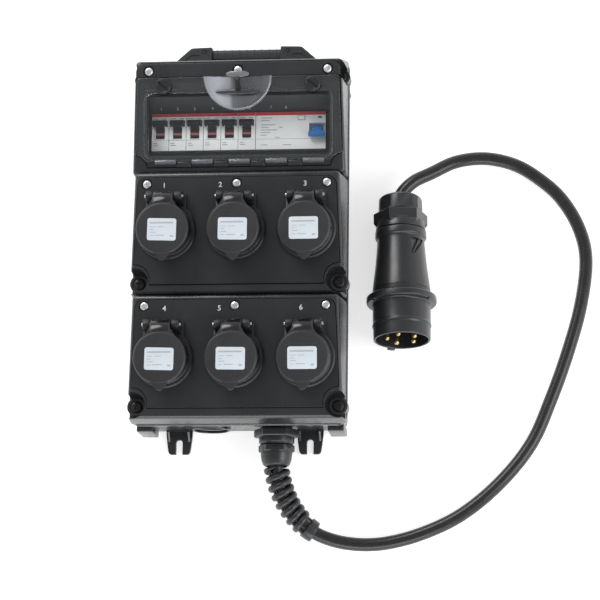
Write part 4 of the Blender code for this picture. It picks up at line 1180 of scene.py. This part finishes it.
def outlet(index, key, x, socket, lid, label):
    face, y = FACES[key], SOCKET_Y[key]
    tilt = front_tilt(face)
    rot = (tilt, 0, 0)
    at = on_front(face, x, y)
    hinge = on_front(face, x, y + HINGE_Y, HINGE_Z)
    lid_body = "socket_lid_%d" % index
    place("socket_%d_body" % index, socket, "socket_plastic", "box", at, tilt, spin=0.0,
          replaces="socket_%d" % index)
    place(lid_body + "_cap", lid, "lid_plastic", lid_body, hinge, tilt, spin=0.0,
          replaces=lid_body)
    part("lid_spring_cover_%d" % index, prism(SPRING_COVER, -9.0, 9.0, "X", bevel=0.3),
         "gloss_black", lid_body, hinge, rot, slot="lid_plastic")
    pin = soft([(0, -20.2), (1.7, -20.2), (1.7, 20.2), (0, 20.2)], 0.3)
    part("lid_pin_%d" % index, turned(pin, 24, "X"), "zinc_steel", "box", hinge, rot)
    seal = soft([(20.6, 28.15), (24.3, 28.15), (24.3, 31.5), (20.6, 31.5)], 0.8)
    part("lid_seal_%d" % index, turned(seal, 72, centre=(0, -2.0, 0)), "cable_rubber",
         lid_body, at, rot)
    label_at = on_front(face, x, y - 3.6, 34.78)
    place("lid_label_%d" % index, label, "label", lid_body, label_at, tilt,
          spin=math.radians(LABEL_SPINS[(index - 1) % 3]), slot="white_plastic")
    for k, (left, width, middle, thick) in enumerate(LABEL_RULES):
        rule = block(left, left + width, middle - thick / 2, middle + thick / 2, 0.30, 0.40)
        part("lid_rule_%d_%d" % (index, k + 1), rule, "grey_print", lid_body, label_at, rot,
             slot="white_plastic")
    for side, letter in zip(SIDES, "ab"):
        clip = prism([(side * out, z) for out, z in EARTH_CLIP], -2.2, 2.2, "X")
        part("earth_clip_%d_%s" % (index, letter), clip, "contact_brass", "box", at, rot)


def outlets():
    socket, lid = socket_mesh(), lid_mesh()
    label = detach(cutter(prism(rounded(-15.0, 15.0, -11.5, 11.5, 2.4, 8), 0.0, 0.34, bevel=0.1)))
    spots = [(key, x) for key in FACES for x in SOCKET_X]
    for index, (key, x) in enumerate(spots, 1):
        outlet(index, key, x, socket, lid, label)
    # numbers beside the hinges: x, height
    places = ((-75.7, 244.9), (-17.0, 245.2), (71.5, 245.4), (-72.9, 114.6), (-15.8, 114.5),
              (68.4, 114.6))
    for index, ((key, _), (x, height)) in enumerate(zip(spots, places), 1):
        face = FACES[key]
        tilt = front_tilt(face)
        along = (height - face[0][1]) / math.cos(tilt)
        number("outlet_number_%d" % index, str(index), 7.6, on_front(face, x, along, 2.0), tilt,
               "pale_ink")


# ================================================================ handle
def handle_post(side, hand):
    rings = []
    for z, inset in ((22.0, 1.2), (23.2, 0.0), (40.8, 0.0), (42.0, 1.2)):
        foot = 383.0 + 6.0 * z / PARTING + 0.4
        outline = [     # distance from the middle, height
            (77.4 - inset, foot), (76.9 - inset, 394.5), (76.2 - inset, 397.4),
            (74.2 - inset * 0.8, 400.2), (61.5 - inset * 0.6, 411.6 - inset * 0.7),
            (60.1 - inset * 0.4, 412.8 - inset), (58.1, 413.4 - inset), (38.2, 414.0 - inset),
            (37.1 + inset * 0.2, 413.5 - inset), (36.8 + inset * 0.4, 412.4 - inset),
            (36.8 + inset * 0.4, foot)]
        rings.append([(side * x, up(height), z) for x, height in outline])
    ob = mesh_object("handle_post_%s_moulded" % hand, skin(rings), "handle_plastic")
    pocket = [(50.5, 391.2), (70.5, 391.2), (68.8, 397.0), (60.0, 405.0), (50.5, 405.0)]
    # socket for the grip, pin hole and shallow pocket in the front
    cut(ob, [block(side * 40 - 6.0, side * 40 + 6.0, up(397.4), up(412.6), 24.6, 39.4),
             rod(2.5, 40.6, 45.0, 28, centre=(side * 45.0, up(408.4), 0)),
             prism([(side * x, up(height)) for x, height in pocket], 41.4, 46.0)])
    register(ob, "box", "handle_post_" + hand)
    pin = soft([(0, 38.5), (2.3, 38.5), (2.3, 41.4), (0, 41.4)], 0.3)
    part("handle_pin_" + hand, turned(pin, 28, centre=(side * 45.0, up(408.4), 0)),
         "black_screw", "box", slot="handle_plastic")


def grip_section(x, inset, radius):
    return [(x, y, z) for y, z in rounded(up(397.9) + inset, up(412.1) - inset, 25.0 + inset,
                                          39.0 - inset, radius, 8)]


def handle():
    handle_post(-1, "left")
    handle_post(1, "right")
    stations = ((-45.0, 0.8), (-44.2, 0.0), (44.2, 0.0), (45.0, 0.8))      # x, inset
    part("handle_grip_bar", skin([grip_section(x, k, 4.2 - k * 0.5) for x, k in stations]),
         "handle_plastic", "box", replaces="handle_grip")
    # raised ribs along the grip
    for i, x in enumerate(range(-32, 33, 8)):
        stations = ((x - 1.2, 0.35), (x - 0.6, -0.3), (x + 0.6, -0.3), (x + 1.2, 0.35))
        part("grip_rib_%d" % (i + 1), skin([grip_section(at, k, 4.2 - k) for at, k in stations]),
             "handle_plastic", "box")


# ================================================================ lead
# Centre line from the gland to the plug: x, height, z.
LEAD_POINTS = (
    (37.0, 6, 32.5), (37.0, -14, 32.5), (37.0, -32, 32.5), (37.8, -45, 31.6), (42.5, -63, 28.0),
    (51, -81, 22.5), (65, -98, 16), (84, -110, 11), (112, -117, 8.0), (146, -117, 7.4),
    (186, -107, 7.4), (228, -87, 7.4), (268, -54, 7.4), (301, -13, 7.4), (322, 34, 7.4),
    (340, 84, 7.4), (354, 134, 7.4), (360, 182, 7.4), (353, 217, 7.4), (335, 249, 7.4),
    (312, 271, 7.6), (286, 287, 8.2), (255, 294, 10.0), (224, 290, 13.5), (198, 277, 18.0),
    (178, 266, 22.0))


def catmull(points, steps):
    """Catmull-Rom curve through the points."""
    out = []
    ext = [points[0] * 2 - points[1]] + points + [points[-1] * 2 - points[-2]]
    for a, b, c, d in zip(ext, ext[1:], ext[2:], ext[3:]):
        for k in range(steps):
            t = k / steps
            out.append(0.5 * ((2 * b) + (c - a) * t + (2 * a - 5 * b + 4 * c - d) * t * t
                              + (3 * b - a - 3 * c + d) * t ** 3))
    return out + [points[-1]]


def lead_run():
    """Stations (point, two cross axes, direction) and their distances along the lead."""
    points = [Vector((x, up(height), z)) for x, height, z in LEAD_POINTS]
    path = catmull(points + [PLUG_START - PLUG_AXIS * 1.5, PLUG_START + PLUG_AXIS * 14], 12)
    stations, side = [], Vector((0, 0, 1))
    for i, point in enumerate(path):
        ahead = (path[min(i + 1, len(path) - 1)] - path[max(i - 1, 0)]).normalized()
        side = (side - ahead * side.dot(ahead)).normalized()
        stations.append((point, side.copy(), ahead.cross(side), ahead))
    distances = [0.0]
    for a, b in zip(path, path[1:]):
        distances.append(distances[-1] + (b - a).length)
    return stations, distances


def station_at(run, distance):
    stations, distances = run
    i = bisect_right(distances, distance) - 1
    t = (distance - distances[i]) / (distances[i + 1] - distances[i])
    return tuple(a.lerp(b, t) for a, b in zip(stations[i], stations[i + 1]))


def lead(run):
    sides = 32
    stations, distances = run
    bm = bmesh.new()
    uv = bm.loops.layers.uv.new("UVMap")
    rows = []
    for point, side, other, _ in stations:
        rows.append([bm.verts.new(point + (side * math.cos(a) + other * math.sin(a)) * CABLE_R)
                     for a in circle_angles(sides)])
    for k in range(len(rows) - 1):
        for i in range(sides):
            j = (i + 1) % sides
            face = bm.faces.new((rows[k][i], rows[k][j], rows[k + 1][j], rows[k + 1][i]))
            corners = ((i, k), (i + 1, k), (i + 1, k + 1), (i, k + 1))
            for loop, (turn, row) in zip(face.loops, corners):
                loop[uv].uv = (distances[row] / 100.0, turn / sides)
    bm.faces.new(list(reversed(rows[0])))
    bm.faces.new(rows[-1])
    part("supply_lead", bm, "cable_rubber", "box", angle=60, merge=False, replaces="power_cable")


# Kink guard: a coil round the lead, then a sleeve.
COIL_START, COIL_PITCH, COIL_TURNS, STEPS_PER_TURN = 46.6, 8.9, 7.5, 40
SLEEVE_START = COIL_START + COIL_PITCH * COIL_TURNS + 4.0


def kink_coil(run):
    total = int(COIL_TURNS * STEPS_PER_TURN)
    rings = []
    for k in range(total + 1):
        point, side, other, ahead = station_at(run, COIL_START + COIL_PITCH * k / STEPS_PER_TURN)
        angle = 2 * math.pi * k / STEPS_PER_TURN
        out = (side * math.cos(angle) + other * math.sin(angle)).normalized()
        ahead = ahead.normalized()
        centre = point + out * (11.2 - 1.3 * k / total)
        taper = min(1.0, (k + 3) / 14.0, (total - k + 3) / 14.0)
        rings.append([centre + out * (2.7 * taper) * math.cos(a)
                      + ahead * (3.5 * taper) * math.sin(a) for a in circle_angles(16)])
    part("kink_spiral_coil", skin(rings), "gland_plastic", "box", angle=70, merge=False,
         replaces="kink_spiral")


def kink_sleeve(run):
    rings = []
    for radius, along in soft([(8.0, 0.0), (11.6, 0.0), (11.5, 5.0), (11.2, 10.5), (8.0, 10.5)],
                              1.0, 4):
        point, side, other, _ = station_at(run, SLEEVE_START + along)
        side, other = side.normalized(), other.normalized()
        rings.append([point + (side * math.cos(a) + other * math.sin(a)) * radius
                      for a in circle_angles(56)])
    part("kink_sleeve_end", skin(rings, closed=True), "gland_plastic", "box", angle=40,
         replaces="kink_sleeve")


def kink_struts(run):
    """Two struts on opposite sides that tie the turns together."""
    for i, angle in enumerate((0.9, 0.9 + math.pi)):
        rings = []
        for k in range(50):
            at = COIL_START + 2.0 + (SLEEVE_START - COIL_START) * k / 49
            point, *axes = station_at(run, at)
            side, other, ahead = (axis.normalized() for axis in axes)
            out = side * math.cos(angle) + other * math.sin(angle)
            across = ahead.cross(out)
            centre = point + out * (9.4 - 0.5 * k / 49)
            rings.append([centre + out * x + across * y
                          for x, y in ((-1.0, -1.4), (1.0, -1.4), (1.0, 1.4), (-1.0, 1.4))])
        part("kink_strut_%d" % (i + 1), skin(rings), "gland_plastic", "box", angle=50)


# ================================================================ gland
def gland_ring(profile, rounding, sides=72, steps=3, phase=0.0):
    """Ring turned about the entry's axis; profile is (radius, height)."""
    outline = soft([(radius, up(height)) for radius, height in profile], rounding, steps)
    return turned(outline, sides, "Y", (GLAND_X, 0, ENTRY_Z), phase)


def gland():
    """Round neck with a hexagonal flange against the box, then a nut with a dome."""
    neck = gland_ring([(8.6, 12), (15.8, 12), (15.8, -0.5), (17.4, -0.5), (17.4, -16.4),
                       (8.6, -16.4)], 0.5)
    flange = gland_ring([(9.0, -0.6), (22.6, -0.6), (23.8, -1.8), (23.8, -8.0), (22.6, -9.2),
                         (9.0, -9.2)], 0.4, sides=6, phase=math.radians(30))
    ring = gland_ring([(9.0, -9.0), (18.6, -9.0), (18.6, -14.6), (17.4, -15.4), (9.0, -15.4)],
                      0.6)
    ob = mesh_object("gland_neck", neck, "gland_plastic")
    join(ob, [flange, ring])
    register(ob, "box", "gland_body")

    nut = gland_ring([(8.6, -16.9), (17.8, -16.9), (18.9, -17.9), (18.9, -23.6), (17.8, -24.6),
                      (8.6, -24.6)], 0.4, sides=6, phase=math.radians(30))
    dome = gland_ring([(8.5, -20), (16.6, -20), (16.5, -27), (15.7, -33), (13.8, -38),
                       (10.8, -40), (8.5, -40)], 1.2, steps=4)
    ob = mesh_object("gland_nut_dome", nut, "gland_plastic")
    join(ob, [dome])
    register(ob, "box", "gland_nut")


# ================================================================ plug
# Plug pieces are turned about z from the lead end; profiles are (radius, z).
PLUG_POSE = PLUG_START, PLUG_AXIS.to_track_quat("Z", "Y").to_euler()
PLUG_BORE = 7.3


def plug_piece(name, profile, rounding, sides, replaces, joins=(), cuts=(), cut_first=False,
               phase=0.0):
    bm = turned(soft(profile, rounding), sides, phase=phase)
    ob = mesh_object(name, bm, "plug_plastic", *PLUG_POSE)
    if cut_first:
        cut(ob, cuts, *PLUG_POSE)
    if joins:
        join(ob, joins, *PLUG_POSE)
    if cuts and not cut_first:
        cut(ob, cuts, *PLUG_POSE)
    register(ob, "box", replaces)


def plug_gland_nut():
    """Nut with six broad shallow flats and raised bars between them."""
    flats = [spun(block(21.6, 27.0, -8.2, 8.2, -2.0, 17.0, 0.6, 2),
                  2 * math.pi * i / 6 + math.radians(14)) for i in range(6)]
    plug_piece("plug_gland_nut_fluted",
               [(PLUG_BORE + 4.5, 0.0), (18.0, 0.0), (20.8, 1.2), (22.8, 3.4), (23.3, 18.5),
                (PLUG_BORE + 0.6, 18.5), (PLUG_BORE + 0.6, 6.0)],
               0.6, 96, "plug_gland_nut", cuts=flats)


def plug_collar():
    """Hexagonal collar with a round band on its far end."""
    inner = PLUG_BORE + 0.2
    band = turned(soft([(inner, 29.0), (25.2, 29.0), (25.8, 34.0), (26.4, 38.5), (inner, 38.5)],
                       0.4), 96)
    plug_piece("plug_collar_hex",
               [(inner, 19.0), (27.6, 19.0), (28.6, 20.0), (28.6, 30.8), (27.6, 31.8),
                (25.4, 35.0), (inner, 35.0)],
               0.4, 6, "plug_collar", joins=[band], phase=math.radians(-10))


def plug_housing():
    """Flared body: ribbed recesses on opposite sides and a shallow ring groove."""
    ribs, recesses = [], []
    for degrees in (42.0, 222.0):
        angle = math.radians(degrees)
        recess = [(-8.6, 54.0), (-8.4, 52.0), (8.2, 52.0), (8.2, 70.5), (5.4, 70.5)]
        rib = [(-4.4, 52.2), (-4.4 + 2.2, 52.2), (-4.4 + 11.2, 69.6), (-4.4 + 9.0, 69.6)]
        recesses.append(spun(prism(recess, 22.4, 32.0, "X"), angle))
        ribs.append(spun(prism(rib, 22.0, 24.3, "X"), angle))
    groove = turned([(29.9, 105.6), (31.5, 105.6), (31.5, 106.4), (29.9, 106.4)], 96)
    plug_piece("plug_housing_shell",
               [(PLUG_BORE + 0.4, 39.0), (25.8, 39.0), (27.0, 40.2), (27.0, 46.4), (26.4, 47.4),
                (25.0, 48.4), (24.9, 51.0), (25.2, 56.0), (26.2, 68.0), (27.6, 82.0),
                (29.4, 96.0), (30.3, 104.0), (30.4, 111.5), (26.5, 111.5), (25.4, 98.0),
                (21.4, 68.0), (PLUG_BORE + 0.4, 60.0)],
               0.7, 128, "plug_housing", joins=ribs, cuts=recesses + [groove], cut_first=True)


def plug_shroud():
    """Collar and tube round the pins, with a raised key and two flange holes."""
    key = spun(block(-4.0, 4.0, -33.6, -29.0, 120.6, 160.2, 1.0, 3),
               math.radians(FIRST_PIN_ANGLE - 270))
    holes = [rod(2.0, 108, 124, 24, centre=(34.2 * math.cos(a), 34.2 * math.sin(a), 0))
             for a in (0.6, math.pi - 0.6)]
    plug_piece("plug_shroud_collar",
               [(26.2, 112.0), (35.8, 112.0), (36.8, 113.2), (36.8, 118.4), (35.8, 119.6),
                (31.4, 120.0), (30.5, 121.0), (30.3, 141.4), (30.9, 142.6), (30.9, 144.6),
                (30.1, 145.8), (29.9, 158.4), (29.3, 159.0), (27.8, 159.0), (27.4, 158.4),
                (27.2, 129.0), (26.2, 128.6)],
               0.4, 128, "plug_shroud", joins=[key], cuts=holes)


def pin_carrier():
    """Carrier with a raised ring round each of the five pins."""
    face = soft([(0, 112.4), (25.8, 112.4), (25.8, 132.2), (25.0, 133.0), (22.8, 133.0),
                 (22.2, 132.2), (0, 132.2)], 0.3)
    ob = mesh_object("pin_carrier_face", turned(face, 96), "plug_plastic", *PLUG_POSE)
    rings, bores = [], []
    for i, radius in enumerate((3.0, 2.5, 2.5, 2.5, 2.5)):
        angle = math.radians(FIRST_PIN_ANGLE + 72 * i)
        centre = (15.6 * math.cos(angle), 15.6 * math.sin(angle), 0)
        bores.append(rod(radius + 0.3, 115.0, 139.0, 32, centre=centre))
        rings.append(turned([(radius + 0.2, 131.0), (radius + 2.2, 131.0), (radius + 2.0, 134.4),
                             (radius + 0.2, 134.4)], 36, centre=centre))
        pin = soft([(0, 116.0), (radius, 116.0), (radius, 156.6), (radius - 1.0, 158.4),
                    (0, 158.7)], 0.5)
        part("contact_pin_%d_turned" % (i + 1), turned(pin, 36, centre=centre), "contact_brass",
             "box", *PLUG_POSE, replaces="contact_pin_%d" % (i + 1))
    join(ob, rings, *PLUG_POSE)
    cut(ob, bores, *PLUG_POSE)
    register(ob, "box", "pin_carrier")


# ================================================================ CAD pieces that stay
def dress():
    """Gives the visible CAD pieces a finish and a small edge bevel."""
    slots = {s["node"]: s["material_slot"] for s in frame["record"]["subparts"]}
    for name, ob in frame["nodes"].items():
        if ob.hide_render:
            continue
        ob.data.materials.clear()
        ob.data.materials.append(FINISH[slots[name]])
        bevel = ob.modifiers.new("edge", "BEVEL")
        bevel.width, bevel.segments = 0.0004, 2
        bevel.limit_method, bevel.angle_limit = "ANGLE", math.radians(40)
        shade_by_angle(ob.data)


# ================================================================ stage, in metres
def floor():
    mesh = bpy.data.meshes.new("floor")
    bm = bmesh.new()
    half = 6.0
    for x, y in ((-half, -half), (half, -half), (half, half), (-half, half)):
        bm.verts.new((x, y, -0.0002))
    bm.faces.new(bm.verts)
    bm.to_mesh(mesh)
    bm.free()
    ob = bpy.data.objects.new("floor", mesh)
    bpy.context.scene.collection.objects.link(ob)
    shader = Shader("floor")
    principled = shader.principled()
    cloud = shader.noise(shader.object, scale=3.0, detail=2.0)
    shader.link(shader.mix(cloud, (0.90, 0.90, 0.90), (0.93, 0.93, 0.93)),
                principled.inputs["Base Color"])
    for key, value in (("Roughness", 0.9), ("Specular IOR Level", 0.1),
                       ("Emission Color", (1, 1, 1, 1)), ("Emission Strength", 0.55)):
        principled.inputs[key].default_value = value
    mesh.materials.append(shader.material)


def world():
    """Studio surround, bright at and below the horizon and greyer overhead."""
    studio = bpy.data.worlds.new("studio")
    bpy.context.scene.world = studio
    studio.use_nodes = True
    tree = studio.node_tree
    tree.nodes.clear()
    output = tree.nodes.new("ShaderNodeOutputWorld")
    background = tree.nodes.new("ShaderNodeBackground")
    coords = tree.nodes.new("ShaderNodeTexCoord")
    split = tree.nodes.new("ShaderNodeSeparateXYZ")
    tree.links.new(coords.outputs["Generated"], split.inputs[0])
    ramp = tree.nodes.new("ShaderNodeValToRGB")
    stops = ramp.color_ramp.elements
    stops[0].position, stops[0].color = 0.0, (1.0, 1.0, 1.0, 1)
    stops[1].position, stops[1].color = 1.0, (0.42, 0.42, 0.43, 1)
    stops.new(0.35).color = (0.95, 0.95, 0.96, 1)
    stops.new(0.75).color = (0.50, 0.50, 0.51, 1)
    tree.links.new(split.outputs[2], ramp.inputs[0])
    tree.links.new(ramp.outputs[0], background.inputs[0])
    background.inputs["Strength"].default_value = 0.95
    tree.links.new(background.outputs[0], output.inputs[0])


def area_light(name, at, to, size, energy):
    light = bpy.data.lights.new(name, "AREA")
    light.shape, light.energy = "RECTANGLE", energy
    light.size, light.size_y = size
    ob = bpy.data.objects.new(name, light)
    bpy.context.scene.collection.objects.link(ob)
    ob.location = at
    ob.rotation_euler = (Vector(to) - Vector(at)).to_track_quat("-Z", "Y").to_euler()


def lights():
    area_light("key", at=(-0.9, 1.5, 1.5), to=(0.05, 0.0, 0.0), size=(1.3, 0.9), energy=24)
    area_light("fill", at=(1.7, -0.7, 1.2), to=(0.1, 0.0, 0.05), size=(1.2, 1.2), energy=17)
    area_light("low", at=(0.2, -1.9, 0.75), to=(0.1, 0.0, 0.05), size=(1.6, 0.6), energy=13)


def camera():
    yaw, pitch, roll = math.radians(5.86), math.radians(11.66), math.radians(0.62)
    distance = 2.723
    target = Vector((0.0627, -0.0633, 0.060))
    back = Vector((math.sin(yaw) * math.cos(pitch), -math.sin(pitch),
                   math.cos(yaw) * math.cos(pitch)))
    right = (-back).cross(Vector((0, 1, 0))).normalized()
    top = right.cross(-back).normalized()
    rolled_right = right * math.cos(roll) + top * math.sin(roll)
    rolled_top = -right * math.sin(roll) + top * math.cos(roll)
    data = bpy.data.cameras.new("photo_camera")
    data.sensor_width, data.lens = 36.0, 156.72
    data.clip_start, data.clip_end = 0.05, 50.0
    ob = bpy.data.objects.new("photo_camera", data)
    bpy.context.scene.collection.objects.link(ob)
    matrix = Matrix((rolled_right, rolled_top, back)).transposed().to_4x4()
    matrix.translation = target + back * distance
    ob.matrix_world = matrix
    bpy.context.scene.camera = ob


rear_housing()
upper_hood()
lower_hood()
window_surround()
flap_outline_gap()
hinge_lugs()
panels()
strip()
screws()
flap()
flap_knobs()
devices()
outlets()
handle()
lead_stations = lead_run()
for build in (lead, kink_coil, kink_sleeve, kink_struts):
    build(lead_stations)
gland()
plug_gland_nut()
plug_collar()
plug_housing()
plug_shroud()
pin_carrier()
dress()
floor()
world()
lights()
camera()
bpy.context.scene.view_settings.view_transform = "Standard"
bpy.context.scene.view_settings.look = "None"
